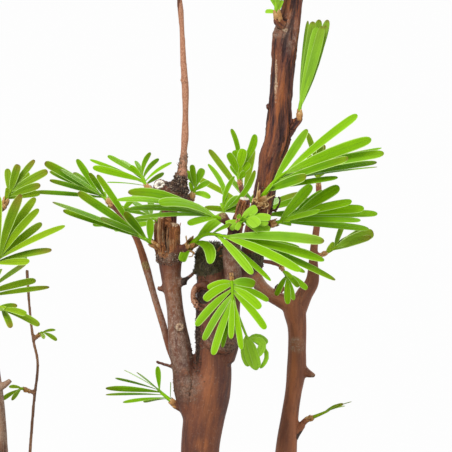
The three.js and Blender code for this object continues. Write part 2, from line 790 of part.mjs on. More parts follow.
const hiddenSpray = ([name, tree, root, direction, reach, pairs, seed]) => {
  const heading = vector(direction).normalize();
  const face = vector(heading.z > SHOOT.upright ? TO_VIEWER : TO_SKY).normalize();
  return {
    name,
    tree,
    root,
    base: vector(root).addScaledVector(heading, reach).toArray(),
    stem: [0.5, 1].map((share) => heading.clone().multiplyScalar(SHOOT.length * share).toArray()),
    face: face.toArray(),
    blades: BLADE.plain,
    leaves: pairedLeaves(heading, face, pairs, drawer(seed)),
  };
};

const sprays = [...seenSprays, ...hiddenShoots.map(hiddenSpray)];

// Wood
// Each limb is a list of stations [x, y, z, radius].
const TRUNKS = {
  central: { foot: [0, 0, 22], roots: { angles: [15, 100, 195, 290], reach: 27, radius: 4.4 } },
  right: { foot: [24, 28, 24], roots: { angles: [50, 170, 290], reach: 15, radius: 2.6 } },
  left: { foot: [-50, 6, 24], roots: { angles: [40, 160, 270], reach: 16, radius: 2.8 } },
};
const BURIED = 4; // this many stations of a trunk are in and just above the soil

const trunks = {
  central: [
    [0, 0, 22, 10.6], [0.2, 0, 34, 10.4], [0.8, 0, 44, 9.2], [2.2, 0, 56, 7.2], [3.6, 0, 74, 6.1],
    [3.4, 0, 92, 5.4], [2.6, 0, 110, 5], [3.6, 0, 118.6, 5.4], [4.8, 0, 125, 5.7], [6, 0, 131, 4.9],
    [6, 0, 134.6, 4.6], [6.5, 0, 138.4, 5.2], [6.8, 0, 144.4, 5.4], [7, 0, 150, 5.4], [6.6, 0, 156, 5],
    [5.6, 0, 161.4, 4.2], [5.4, 0, 165, 2.6],
  ],
  right: [
    [24, 28, 24, 5.2], [24, 28, 36, 5], [24, 28, 46, 4.5], [24.2, 28, 58, 3.8], [24.6, 28, 80, 3.4],
    [25.4, 28, 98, 3.1], [25.7, 28, 107.2, 3], [26.7, 28, 117, 2.4], [27.7, 28, 123.6, 2.3],
    [28.5, 28, 129.5, 2.7], [28.7, 28, 135.5, 2.5], [28.7, 28, 141.3, 2.6], [28, 28, 146.6, 3.1],
    [28.4, 28, 150, 2.2],
  ],
  left: [
    [-50, 6, 24, 5.4], [-50, 6, 36, 5.2], [-50.1, 6, 46, 4.8], [-50.5, 6, 60, 4.3], [-51.2, 6, 84, 4],
    [-51.6, 6, 108, 3.8], [-52.4, 6, 124, 3.4], [-54, 6, 138, 2.9], [-55.2, 5, 152, 2.4],
    [-56.8, 4, 166, 1.9], [-59.2, 3.4, 180, 1.5], [-62.4, 3, 192, 1.2], [-66, 3, 204, 0.9],
  ],
};

const surfaceRoots = ({ foot, roots }) =>
  roots.angles.map((angle, i) => {
    const turn = THREE.MathUtils.degToRad(angle);
    const reach = roots.reach * (1 - ROOT.shorter * (i % ROOT.lengths));
    return ROOT.stations.map(([share, rise, thickness]) => [
      foot[0] + Math.cos(turn + ROOT.bend * share) * reach * share,
      foot[1] + Math.sin(turn + ROOT.bend * share) * reach * share,
      foot[2] + rise * ROOT.rise,
      roots.radius * thickness,
    ]);
  });

const limbs = {
  central: [
    // left limb up to the broken stump
    [
      [1.6, 0, 119, 3.4], [-1, -0.2, 126, 3.2], [-1.8, -0.4, 131.3, 2.8], [-2.6, -0.4, 137, 3],
      [-3.3, -0.4, 142.5, 2.5], [-4, -0.2, 148.2, 2.2], [-4.9, 0, 155.2, 2.6], [-5.2, 0, 161, 3],
      [-6, 0, 168, 3], [-5.8, 0, 174, 3.8], [-5.4, 0, 178.4, 4.6], [-5.2, 0, 181.2, 3.4],
    ],
    // sawn stub on the stump
    [[-6.4, -0.6, 177, 1.8], [-7.4, -1.6, 179, 1.7], [-7.8, -2.2, 182.2, 1.5]],
    // slim upright shoot
    [
      [-3.2, 0, 178, 2], [-2.4, 0, 181, 1.7], [-1.9, 0, 184, 1.15], [-1.6, 0, 188, 0.9],
      [-1.3, 0, 191.9, 1.05], [-1.2, 0, 197.6, 0.85], [-1.2, 0, 203.9, 1], [-1.7, 0, 211.4, 0.9],
      [-2.1, 0, 220, 0.75], [-2.5, 0, 225.4, 0.85], [-2.8, 0, 229, 0.65], [-3.3, 0, 243, 0.65],
      [-3.6, 0, 259, 0.6],
    ],
    // thin branch behind the left limb
    [
      [-0.6, 1.6, 126, 1.5], [-3.4, 2.8, 132, 1.1], [-5.4, 3.6, 137, 1.05], [-7, 4.2, 142.5, 1],
      [-8.8, 4.6, 148.2, 0.95], [-10.1, 5.2, 152.6, 0.95], [-11.5, 5.6, 157.6, 1.1], [-14, 6.6, 165.1, 0.95],
      [-17.4, 7.6, 170.8, 0.85], [-20, 8, 173.6, 0.8],
    ],
    // swelling on the right side, below the mossy stump that the trunk ends in
    [[9, -1, 134, 2.6], [10.2, -1.4, 138.2, 2.6], [10.4, -2, 142.6, 2.4]],
    // light front limb with its white cut
    [
      [8.6, -2.6, 138, 3], [9.8, -5, 143.6, 3], [10.6, -7, 149, 2.5], [11.2, -8, 154.7, 2.2],
      [10.8, -8, 162.5, 2.3], [11.6, -8, 169.8, 2.2], [13.2, -8, 174, 2], [14.3, -8, 176.4, 1.9],
    ],
    // leader
    [
      [8, 0.4, 153, 4], [12, 0.8, 156.6, 3.7], [15, 1, 160, 3.1], [15.7, 1, 166.4, 2.6],
      [17.2, 1, 172.1, 2.2], [18.9, 1, 178.2, 2], [20, 1, 182, 2.6], [21, 1, 186.4, 3.3],
      [22.4, 1, 190.4, 3.5], [23, 1, 194.6, 3.5], [23.3, 1, 201.3, 3.1], [24, 1, 208.8, 3],
      [24.9, 1, 217, 3.4], [26.6, 1, 226, 2.7], [28.2, 1, 240, 2.1], [27.6, 1.4, 254, 1.7],
      [28.4, 2, 268, 1.3], [29, 2, 283, 0.9],
    ],
    // dead knob between the stump and the leader
    [[9, 1, 157, 3.2], [14.6, 1.6, 157.4, 2.6], [18.4, 2.4, 159.6, 1.6]],
    // twig that carries the upright tuft
    [[23.6, 0.6, 190.6, 1.3], [26.2, 0.2, 193, 1], [27.6, 0, 196, 0.9]],
    // peeled bark that curls round a dark knot
    [
      [5, -4.2, 146.6, 0.7], [2.4, -4, 147.6, 0.8], [0.9, -3, 150, 0.8], [1.4, -3.4, 152.8, 0.8],
      [3.4, -5, 153.8, 0.8], [5, -5.2, 152.8, 0.7],
    ],
    [[3.2, -2, 151.2, 1.2], [3.2, -5, 151.6, 0.9]],
    // snags and thin dead twigs
    [[-5, 0, 152, 0.9], [-8.6, -0.2, 152.6, 0.6]],
    [[-3.4, -0.6, 154, 1.4], [-1, -1.2, 154.4, 1]],
    [[-2, -1, 154.4, 0.7], [0.8, -1.6, 156.4, 0.5], [1.8, -1.8, 158.6, 0.4]],
    [[-2, -0.2, 131, 0.7], [-5.6, 1, 132.4, 0.5], [-9, 1.4, 133.4, 0.4]],
    [[22, 0, 199.4, 1], [19.8, -0.6, 199.8, 0.7]],
    // ring scars where twigs were cut
    [[-2.6, 0, 142.5, 1.4], [-2.6, -3.1, 142.7, 1.1]],
    [[-1.2, 0, 130.8, 1.4], [-1.2, -3.3, 131, 1]],
    [[-1, -0.2, 206.4, 0.9], [-2.4, -0.6, 207, 0.6]],
  ],
  right: [
    // left branch of the fork
    [
      [27.6, 28, 143.6, 2.6], [24.6, 28.2, 146.4, 2.3], [21, 28.6, 149.8, 2], [18.2, 29, 153.4, 1.9],
      [16.4, 29.2, 158.4, 1.6], [16.2, 29.4, 168, 1.1],
    ],
    // right branch of the fork
    [
      [28.4, 28, 145, 2.6], [30.6, 28, 150, 2.3], [32.8, 28, 153.6, 1.9], [33.1, 28, 159, 1.3],
      [33.3, 28, 162.6, 1.1], [34.1, 28, 168.8, 0.95], [34.6, 28, 173, 0.9], [34.6, 28, 177, 0.85],
    ],
    // thorn, low branch and knots
    [[29, 28, 130.4, 1.8], [31.4, 27.8, 128.8, 1.3], [33.6, 27.6, 128, 0.5]],
    [[26, 28, 109, 1.6], [28.4, 28, 112.4, 1.3], [30.2, 27.8, 114.8, 1]],
    [[24, 27, 151.4, 1.6], [23.6, 26, 152.4, 1.2]],
  ],
  left: [
    [[-51, 5.4, 126, 1.2], [-48.6, 4.6, 127.2, 0.9], [-47, 4.2, 128.4, 0.6]],
    // thin whip behind, from low on the trunk
    [
      [-50, 7, 62, 1.6], [-46.6, 12, 76, 1.1], [-44.4, 17, 92, 0.9], [-43.4, 20, 107, 0.8],
      [-42.4, 21.4, 121, 0.75], [-41.4, 22, 132, 0.7], [-42.6, 22, 138.2, 0.7], [-43.6, 22, 147, 0.6],
      [-44.3, 22, 157, 0.5],
    ],
  ],
};

const limbSides = (stations) => {
  const widest = Math.max(...stations.map((station) => station[3]));
  return widest > LIMB.thick ? LIMB.sides.thick : LIMB.sides.thin;
};

const woodBody = (tree) => {
  const own = sprays.filter((spray) => spray.tree === tree);
  const ridge = LIMB.barkRidge;
  return joined([
    limb(trunks[tree], { sides: LIMB.sides.trunk, ridge }),
    ...surfaceRoots(TRUNKS[tree]).map((stations) => limb(stations, { sides: LIMB.sides.root })),
    ...limbs[tree].map((stations) => limb(stations, { sides: limbSides(stations), ridge })),
    ...own.map(budBody),
  ]);
};

// The part of a trunk that stands in the soil, grown by the clearance on every side.
const plantedBody = (tree) => {
  const [[x, y, z, radius], ...rest] = trunks[tree].slice(0, BURIED);
  const roots = surfaceRoots(TRUNKS[tree]).map((stations) => {
    const tip = vector(stations.at(-1));
    tip.add(tip.clone().sub(vector(stations.at(-2))).setLength(GAP));
    const longer = [...stations.slice(0, -1), [...tip.toArray(), stations.at(-1)[3]]];
    return limb(longer, { sides: LIMB.sides.root, swell: GAP });
  });
  const trunk = limb([[x, y, z - GAP, radius], ...rest], {
    sides: LIMB.sides.trunk,
    ridge: LIMB.barkRidge,
    swell: GAP,
  });
  return joined([trunk, ...roots]);
};

// Pot and soil
// A turned profile is squared: its round section becomes a rounded rectangle of the pot's proportions.
const squared = (profile) => {
  const turned = new THREE.LatheGeometry(
    profile.map(([radius, z]) => new THREE.Vector2(radius, z)),
    POT.sides,
  );
  const narrower = POT.halfLength - POT.halfWidth;
  const power = 2 / POT.squareness;
  const side = (value) => (Math.abs(value) < MERGE ? 0 : Math.sign(value) * Math.abs(value) ** power);
  return reshape(turned, (x, y, z) => {
    const long = Math.hypot(x, z);
    const short = long > POT.core ? long - narrower : (long * (POT.core - narrower)) / POT.core;
    const turn = Math.atan2(-z, x);
    return new THREE.Vector3(long * side(Math.cos(turn)), short * side(Math.sin(turn)), y);
  });
};

// The wall leans out evenly from the foot to the underside of the lip.
const wallAt = (z) => {
  const rise = (z - POT.footHeight) / (POT.height - POT.lipHeight - POT.footHeight);
  return POT.halfLength - POT.lip - POT.batter * (1 - Math.min(1, rise));
};
const insideAt = (z) => wallAt(z) - POT.wall;

const potBody = () => {
  const { halfLength, height, footHeight, floor, lip, lipHeight, bevel } = POT;
  const under = height - lipHeight;
  const shell = squared([
    [0, footHeight],
    [wallAt(footHeight) - bevel * 2, footHeight],
    [wallAt(footHeight + bevel), footHeight + bevel],
    [halfLength - lip, under],
    [halfLength, under + bevel],
    [halfLength, height - bevel],
    [halfLength - bevel, height],
    [insideAt(height) + bevel, height],
    [insideAt(height), height - bevel],
    [insideAt(under), under],
    [insideAt(footHeight + floor), footHeight + floor],
    [0, footHeight + floor],
  ]);
  const feet = [-1, 1].flatMap((x) => [-1, 1].map((y) => footBody(x * FOOT.inset[0], y * FOOT.inset[1])));
  const drains = [-1, 1].map((side) => {
    const hole = new THREE.CylinderGeometry(DRAIN.radius, DRAIN.radius, floor * 2, DRAIN.sides);
    hole.rotateX(Math.PI / 2);
    hole.translate(side * DRAIN.offset, 0, footHeight + floor / 2);
    return solid(hole);
  });
  return joined([solid(shell), ...feet]).subtract(joined(drains));
};

const footBody = (x, y) => {
  const [length, width, corner] = [FOOT.length / 2, FOOT.width / 2, FOOT.corner];
  const outline = new THREE.Shape();
  outline.moveTo(-length + corner, -width);
  outline.lineTo(length - corner, -width);
  outline.quadraticCurveTo(length, -width, length, -width + corner);
  outline.lineTo(length, width - corner);
  outline.quadraticCurveTo(length, width, length - corner, width);
  outline.lineTo(-length + corner, width);
  outline.quadraticCurveTo(-length, width, -length, width - corner);
  outline.lineTo(-length, -width + corner);
  outline.quadraticCurveTo(-length, -width, -length + corner, -width);
  const foot = new THREE.ExtrudeGeometry(outline, {
    depth: POT.footHeight + FOOT.sunk,
    bevelEnabled: false,
    curveSegments: FOOT.cornerSteps,
  });
  foot.translate(x, y, 0);
  return solid(foot);
};

const SCREEN_LEVEL = POT.footHeight + POT.floor + GAP;

// A mesh square: a thin sheet with square holes.
const screenBody = (side) => {
  const sheet = new THREE.BoxGeometry(SCREEN.side, SCREEN.side, SCREEN.thickness);
  sheet.translate(side * DRAIN.offset, 0, SCREEN_LEVEL + SCREEN.thickness / 2);
  const holes = [-0.5, 0.5].flatMap((x) =>
    [-0.5, 0.5].map((y) => {
      const hole = new THREE.BoxGeometry(SCREEN.hole, SCREEN.hole, SCREEN.thickness * 3);
      hole.translate(side * DRAIN.offset + x * SCREEN.pitch, y * SCREEN.pitch, SCREEN_LEVEL);
      return solid(hole);
    }),
  );
  return solid(sheet).subtract(joined(holes));
};

// Height of the soil: higher in the middle, and higher again against each trunk.
const groundHeight = (x, y) => {
  const out = Math.hypot(x / POT.halfLength, y / POT.halfWidth);
  const crown = SOIL.crown * Math.max(0, 1 - out ** 2);
  const collars = Object.values(TRUNKS).map(({ foot }) => {
    const away = Math.hypot(x - foot[0], y - foot[1]) / SOIL.collarReach;
    return SOIL.collar * Math.exp(-(away ** 2));
  });
  return SOIL.edge + crown + Math.max(...collars);
};

const soilBody = () => {
  const bottom = SCREEN_LEVEL;
  const under = POT.height - POT.lipHeight;
  const bed = reshape(
    squared([
      [0, bottom],
      [insideAt(bottom) - GAP, bottom],
      [insideAt(under) - GAP, under],
      ...SOIL.rings.map((share) => [(insideAt(under) - GAP) * share, SOIL.edge]),
    ]),
    (x, y, z) => new THREE.Vector3(x, y, z >= SOIL.edge ? groundHeight(x, y) : z),
  );
  const pockets = [-1, 1].map((side) => {
    const depth = SCREEN.thickness + 2 * GAP;
    const pocket = new THREE.BoxGeometry(SCREEN.side + 2 * GAP, SCREEN.side + 2 * GAP, depth);
    pocket.translate(side * DRAIN.offset, 0, bottom + depth / 2 - GAP);
    return solid(pocket);
  });
  return solid(bed).subtract(joined([...pockets, ...Object.keys(TRUNKS).map(plantedBody)]));
};

// The planting
const bonsai = new THREE.Group();
bonsai.add(piece("pot", potBody(), STONEWARE));
bonsai.add(piece("drain_screen_left", screenBody(-1), MESH_PLASTIC));
bonsai.add(piece("drain_screen_right", screenBody(1), MESH_PLASTIC));
bonsai.add(piece("soil", soilBody(), GRIT));
bonsai.add(piece("wood_central_tree", woodBody("central"), CENTRAL_BARK));
bonsai.add(piece("wood_right_tree", woodBody("right"), RIGHT_BARK));
bonsai.add(piece("wood_left_tree", woodBody("left"), LEFT_BARK));
for (const spray of sprays) {
  bonsai.add(piece(spray.name, sprayBody(spray), spray.tree === "central" ? FRESH_GREEN : DEEP_GREEN));
}

export default bonsai;
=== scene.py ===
"""Dawn redwood bonsai: three young trees in an unglazed tray, with their finished surfaces.

Every length in this file is a millimetre in the part's frame, until a piece is finished in metres.
"""

import logging
import math
import random
from collections.abc import Iterable, Sequence
from dataclasses import dataclass, field
from enum import Enum
from functools import cache

import bmesh
import bpy
import numpy as np
from mathutils import Matrix, Vector, noise


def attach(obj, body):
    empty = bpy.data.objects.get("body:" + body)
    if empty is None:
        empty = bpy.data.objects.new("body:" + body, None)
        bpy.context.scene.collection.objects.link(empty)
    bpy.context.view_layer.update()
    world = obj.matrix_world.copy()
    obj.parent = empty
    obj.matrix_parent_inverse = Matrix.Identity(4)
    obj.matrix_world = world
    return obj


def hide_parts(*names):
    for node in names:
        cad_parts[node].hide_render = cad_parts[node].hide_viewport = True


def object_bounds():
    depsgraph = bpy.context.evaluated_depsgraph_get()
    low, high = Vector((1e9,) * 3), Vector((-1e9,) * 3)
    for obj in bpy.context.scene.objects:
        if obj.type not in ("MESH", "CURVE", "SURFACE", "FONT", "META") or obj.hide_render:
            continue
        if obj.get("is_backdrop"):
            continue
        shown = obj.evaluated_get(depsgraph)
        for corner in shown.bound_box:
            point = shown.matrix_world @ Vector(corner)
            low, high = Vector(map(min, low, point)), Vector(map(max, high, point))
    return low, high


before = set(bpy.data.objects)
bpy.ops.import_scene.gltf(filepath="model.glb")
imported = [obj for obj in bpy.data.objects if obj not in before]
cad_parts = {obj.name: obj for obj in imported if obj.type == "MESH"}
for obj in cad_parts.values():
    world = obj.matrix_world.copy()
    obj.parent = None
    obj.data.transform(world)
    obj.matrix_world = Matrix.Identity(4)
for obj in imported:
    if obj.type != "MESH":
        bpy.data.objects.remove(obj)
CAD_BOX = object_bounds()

log = logging.getLogger("bonsai")

MM = 0.001
Point = tuple[float, float, float]
Color = tuple[float, float, float]
Rows = Sequence[Sequence[float]]
Array = np.ndarray
Object = bpy.types.Object
Material = bpy.types.Material
Socket = bpy.types.NodeSocket


class Tree(Enum):
    """The three trees of the planting."""

    CENTRAL = "central"
    RIGHT = "right"
    LEFT = "left"


class Mark(Enum):
    """What a spot on the wood shows."""

    MOSS = "moss"
    CUT = "cut"
    # Dark bark, and painted shade where it marks crevices and hollows.
    DARK = "dark"
    PALE = "pale"
    ORANGE = "orange"
    GRAY = "gray"
    FIBRE = "fibre"
    COLLAR = "collar"
    WARM = "warm"
    BLUSH = "blush"
    OLIVE = "olive"


class Foot(Enum):
    """What a spray stands on."""

    SCALY = "a woody bud in papery scales"
    SMOOTH = "a smooth woody bud"
    GREEN = "a thin green stalk"


TO_VIEWER: Point = (0, -1, 0.25)
TO_SKY: Point = (0, -0.82, 0.57)
HALF_UP: Point = (0, -0.9, 0.43)


# Shared tools


class Draws:
    """Lehmer's generator, so that every run and the part's source draw the same numbers."""

    FACTOR = 16807
    MODULUS = 2147483647

    def __init__(self, seed: int) -> None:
        """Starts the row of numbers that belongs to the seed."""
        self.state = seed

    def between(self, least: float, greatest: float) -> float:
        """Draws a number between two limits."""
        self.state = self.state * self.FACTOR % self.MODULUS
        return least + (greatest - least) * self.state / self.MODULUS


def placed(name: str, data: bpy.types.ID) -> Object:
    """Puts an object with this mesh, light or camera into the scene."""
    made = bpy.data.objects.new(name, data)
    bpy.context.scene.collection.objects.link(made)
    return made


def unit(vector: Array) -> Array:
    """Returns the vector, or each row of it, at length one."""
    return vector / np.linalg.norm(vector, axis=-1, keepdims=True)


def clamped(value: float, low: float = 0.0, high: float = 1.0) -> float:
    """Keeps a value between two limits."""
    return min(high, max(low, value))


def smooth_step(value: Array) -> Array:
    """Eases a value from 0 to 1."""
    inside = np.clip(value, 0, 1)
    return inside * inside * (3 - 2 * inside)


@dataclass(frozen=True)
class Shape:
    """Vertices and faces, with values that belong to each vertex."""

    vertices: Array
    faces: list[tuple[int, ...]]
    values: dict[str, Array] = field(default_factory=dict)

    @staticmethod
    def joined(shapes: Sequence["Shape"]) -> "Shape":
        """Returns one shape made of several with the same kinds of values."""
        faces: list[tuple[int, ...]] = []
        count = 0
        for shape in shapes:
            faces += [tuple(corner + count for corner in face) for face in shape.faces]
            count += len(shape.vertices)
        values = {
            name: np.concatenate([shape.values[name] for shape in shapes])
            for name in shapes[0].values
        }
        return Shape(np.concatenate([shape.vertices for shape in shapes]), faces, values)

    def build(self, name: str) -> Object:
        """Makes an object of the shape, still in millimetres."""
        mesh = bpy.data.meshes.new(name)
        mesh.from_pydata(self.vertices.tolist(), [], self.faces)
        for key, value in self.values.items():
            write_values(mesh, key, value)
        return placed(name, mesh)


def write_values(mesh: bpy.types.Mesh, name: str, values: Array) -> None:
    """Stores one number or one vector for each vertex of a mesh."""
    if values.ndim == 1:
        mesh.attributes.new(name, "FLOAT", "POINT").data.foreach_set("value", values)
    else:
        mesh.attributes.new(name, "FLOAT_VECTOR", "POINT").data.foreach_set("vector", values.ravel())


def read_vertices(built: Object, key: str = "co") -> Array:
    """Returns the places of an object's vertices, one a row, or their "normal"."""
    vectors = np.empty(len(built.data.vertices) * 3)
    built.data.vertices.foreach_get(key, vectors)
    return vectors.reshape(-1, 3)


def write_vertices(built: Object, places: Array) -> None:
    """Moves an object's vertices."""
    built.data.vertices.foreach_set("co", places.ravel())
    built.data.update()


def only(*chosen: Object) -> None:
    """Selects these objects alone and makes the first one active."""
    bpy.ops.object.select_all(action="DESELECT")
    for built in chosen:
        built.select_set(True)
    bpy.context.view_layer.objects.active = chosen[0]


def modified(built: Object, kind: str, **settings: object) -> None:
    """Adds one modifier with its settings and applies it."""
    modifier = built.modifiers.new(kind.lower(), kind)
    for name, value in settings.items():
        setattr(modifier, name, value)
    only(built)
    bpy.ops.object.modifier_apply(modifier=modifier.name)


def cut_away(built: Object, tool: Object) -> None:
    """Subtracts a tool from an object and removes the tool."""
    modified(built, "BOOLEAN", operation="DIFFERENCE", solver="EXACT", object=tool)
    bpy.data.objects.remove(tool)


def clean(built: Object, within: float) -> None:
    """Merges vertices closer than this and turns all faces outward."""
    only(built)
    bpy.ops.object.mode_set(mode="EDIT")
    bpy.ops.mesh.select_all(action="SELECT")
    bpy.ops.mesh.remove_doubles(threshold=within)
    bpy.ops.mesh.normals_make_consistent(inside=False)
    bpy.ops.object.mode_set(mode="OBJECT")


def finished(
    built: Object, finish: Material, node: str | None = None, sharp: float = 180
) -> None:
    """Brings a piece to metres, dresses it, hangs it under the root body, hides the part's node that it
    stands for and logs its faces.

    Args:
        built: The piece, in millimetres.
        finish: Its only material.
        node: Name of the part's node that it stands for, if any.
        sharp: Edges that bend by more than this many degrees stay sharp.
    """
    built.scale = (MM, MM, MM)
    built.location *= MM
    only(built)
    bpy.ops.object.transform_apply(location=True, rotation=True, scale=True)
    bpy.ops.object.shade_smooth_by_angle(angle=math.radians(sharp), keep_sharp_edges=False)
    built.data.materials.clear()
    built.data.materials.append(finish)
    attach(built, "root")
    if node:
        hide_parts(node)
    log.info("%s: %d faces", built.name, len(built.data.polygons))


class Route:
    """The part's own kind of curve: a centripetal Catmull-Rom spline through points."""

    def __init__(self, points: Rows) -> None:
        """Takes three coordinates a point, and more values that run along with them."""
        self.points = np.array(points, dtype=float)

    def at(self, share: float) -> Array:
        """Returns the point at a share of the route, counted in points."""
        points = self.points
        last = len(points) - 1
        index = min(int(share * last), last - 1)
        weight = share * last - index
        start, end = points[index], points[index + 1]
        before = points[index - 1] if index else 2 * points[0] - points[1]
        after = points[index + 2] if index + 2 <= last else 2 * points[last] - points[last - 1]
        first, second, third = (
            math.sqrt(np.linalg.norm((b - a)[:3])) or 1.0
            for a, b in ((before, start), (start, end), (end, after))
        )
        step = end - start
        leave = (start - before) / first - (end - before) / (first + second) + step / second
        arrive = step / second - (after - start) / (second + third) + (after - end) / third
        leave, arrive = leave * second, arrive * second
        bend = (3 * step - 2 * leave - arrive) * weight**2
        return start + leave * weight + bend + (leave - 2 * step + arrive) * weight**3

    def heading(self, share: float) -> Array:
        """Returns the direction of the route at a share of it."""
        low, high = clamped(share - 1e-4), clamped(share + 1e-4)
        return unit((self.at(high) - self.at(low))[:3])

    def spaced(self, spacing: float) -> Array:
        """Returns points along the route, about this far apart."""
        last = len(self.points) - 1
        shares = [0.0]
        for index in range(last):
            length = np.linalg.norm((self.points[index + 1] - self.points[index])[:3])
            steps = max(1, round(length / spacing))
            shares += [(index + (step + 1) / steps) / last for step in range(steps)]
        return np.array([self.at(min(share, 1.0)) for share in shares])


@dataclass(frozen=True)
class Frames:
    """Rows of centres along a limb, with the directions along and across it."""

    centers: Array
    radii: Array
    along: Array
    across: Array
    other: Array
    lengths: Array

    @staticmethod
    def of(stations: Array) -> "Frames":
        """Carries the directions along closely spaced stations [x, y, z, radius]."""
        centers = stations[:, :3]
        along = unit(np.gradient(centers, axis=0))
        spoke = np.array([1, 0, 0.01] if abs(along[0][1]) > 0.8 else [0, -1, 0.01])
        spokes = []
        for heading in along:
            spoke = unit(spoke - heading * spoke.dot(heading))
            spokes.append(spoke)
        across = np.array(spokes)
        steps = np.linalg.norm(np.diff(centers, axis=0), axis=1)
        lengths = np.concatenate([[0], np.cumsum(steps)])
        return Frames(centers, stations[:, 3], along, across, np.cross(across, along), lengths)


def skin(rings: int, sides: int) -> list[tuple[int, ...]]:
    """Returns the faces of a closed tube: its sides ring by ring, then its two ends."""
    corners = [
        (ring * sides + side, ring * sides + (side + 1) % sides)
        for ring in range(rings)
        for side in range(sides)
    ]
    faces: list[tuple[int, ...]] = [
        (low, high, next_high, next_low)
        for (low, next_low), (high, next_high) in zip(corners, corners[sides:])
    ]
    last = (rings - 1) * sides
    return [*faces, tuple(range(sides)), tuple(reversed(range(last, last + sides)))]


def tube(stations: Array, sides: int) -> Shape:
    """Returns a closed round tube through closely spaced stations [x, y, z, radius]."""
    frames = Frames.of(stations)
    turns = np.arange(sides) * math.tau / sides
    round_ = np.cos(turns)[None, :, None] * frames.across[:, None]
    round_ = round_ + np.sin(turns)[None, :, None] * frames.other[:, None]
    vertices = frames.centers[:, None] + round_ * frames.radii[:, None, None]
    return Shape(vertices.reshape(-1, 3), skin(len(stations), sides))


# Node trees


class Graph:
    """Builds the nodes of a material or of a node group."""

    def __init__(self, tree: bpy.types.NodeTree) -> None:
        """Works in this node tree."""
        self.tree = tree

    def add(self, kind: str, **settings: object) -> bpy.types.Node:
        """Adds a node with its settings."""
        node = self.tree.nodes.new(kind)
        for name, value in settings.items():
            setattr(node, name, value)
        return node

    def feed(self, socket: Socket, value: object) -> None:
        """Links a socket, or sets its constant."""
        if isinstance(value, Socket):
            self.tree.links.new(value, socket)
        elif isinstance(value, tuple) and socket.type == "RGBA":
            socket.default_value = (*value, 1)
        else:
            socket.default_value = value

    def vector(self, name: str) -> Socket:
        """Reads the vector that each vertex carries under a name."""
        return self.add("ShaderNodeAttribute", attribute_name=name).outputs["Vector"]

    def number(self, name: str) -> Socket:
        """Reads the number that each vertex carries under a name."""
        return self.add("ShaderNodeAttribute", attribute_name=name).outputs["Fac"]

    def part(self, value: object, share: object) -> Socket:
        """Multiplies two values."""
        return self.math("MULTIPLY", value, share)

    def line(self, value: object, factor: object, offset: object) -> Socket:
        """Multiplies a value and adds another."""
        return self.math("MULTIPLY_ADD", value, factor, offset)

    def math(self, operation: str, *operands: object) -> Socket:
        """Adds one step of arithmetic."""
        node = self.add("ShaderNodeMath", operation=operation)
        for socket, value in zip(node.inputs, operands):
            self.feed(socket, value)
        return node.outputs[0]

    def fed(self, kind: str, inputs: dict[str, object], **settings: object) -> bpy.types.Node:
        """Adds a node and feeds its inputs by name."""
        node = self.add(kind, **settings)
        for name, value in inputs.items():
            self.feed(node.inputs[name], value)
        return node

    def ramp(self, value: object, low: float, high: float, most: object = 1) -> Socket:
        """Maps a value to 0 at one limit and the most at the other, eased and clamped."""
        inputs = {"Value": value, "From Min": low, "From Max": high, "To Max": most}
        return self.fed("ShaderNodeMapRange", inputs, interpolation_type="SMOOTHSTEP").outputs["Result"]

    def scaled(self, vector: object, factors: Point, shift: Point = (0, 0, 0)) -> Socket:
        """Stretches and shifts coordinates."""
        node = self.add("ShaderNodeVectorMath", operation="MULTIPLY_ADD")
        self.feed(node.inputs[0], vector)
        node.inputs[1].default_value = factors
        node.inputs[2].default_value = shift
        return node.outputs[0]

    def noise(
        self, vector: object, scale: float, detail: float = 3, rough: float = 0.55, warp: float = 0
    ) -> Socket:
        """Adds a cloud pattern between 0 and 1."""
        inputs = {"Vector": vector, "Scale": scale, "Detail": detail, "Roughness": rough, "Distortion": warp}
        return self.fed("ShaderNodeTexNoise", inputs).outputs["Fac"]

    def cells(self, vector: object, scale: float) -> Socket:
        """Adds the distance pattern of random cells."""
        return self.fed("ShaderNodeTexVoronoi", {"Vector": vector, "Scale": scale}).outputs["Distance"]

    def mix(self, share: object, first: object, second: object) -> Socket:
        """Mixes two colours."""
        node = self.add("ShaderNodeMix", data_type="RGBA")
        self.feed(node.inputs["Factor"], share)
        self.feed(node.inputs[6], first)
        self.feed(node.inputs[7], second)
        return node.outputs[2]

    def layered(self, color: object, *layers: tuple[object, object]) -> Socket:
        """Lays tints over a colour, each with its share."""
        for share, tint in layers:
            color = self.mix(share, color, tint)
        return color

    def object_place(self) -> Socket:
        """Adds the object's own coordinates, in millimetres."""
        place = self.add("ShaderNodeTexCoord").outputs["Object"]
        return self.scaled(place, (1000, 1000, 1000))


def sockets(kind: str, names: str) -> dict[str, str]:
    """Returns the socket type of each name in a text."""
    return {name: kind for name in names.split()}


class Effect:
    """A node group that several materials share."""

    def __init__(self, name: str, inputs: dict[str, str], outputs: dict[str, str]) -> None:
        """Opens a group with its sockets.

        Args:
            name: Name of the group.
            inputs: Socket type of each input by name.
            outputs: Socket type of each output by name.
        """
        self.tree = bpy.data.node_groups.new(name, "ShaderNodeTree")
        for direction, kinds in (("INPUT", inputs), ("OUTPUT", outputs)):
            for key, kind in kinds.items():
                self.tree.interface.new_socket(key, in_out=direction, socket_type=f"NodeSocket{kind}")
        self.graph = Graph(self.tree)
        self.given = self.graph.add("NodeGroupInput").outputs
        self.made = self.graph.add("NodeGroupOutput").inputs

    def end(self, **outputs: object) -> "Effect":
        """Feeds the outputs of the group."""
        for key, value in outputs.items():
            self.graph.feed(self.made[key], value)
        return self

    def use(self, graph: Graph, **inputs: object) -> bpy.types.bpy_prop_collection:
        """Adds the group to a material and feeds it."""
        return graph.fed("ShaderNodeGroup", inputs, node_tree=self.tree).outputs


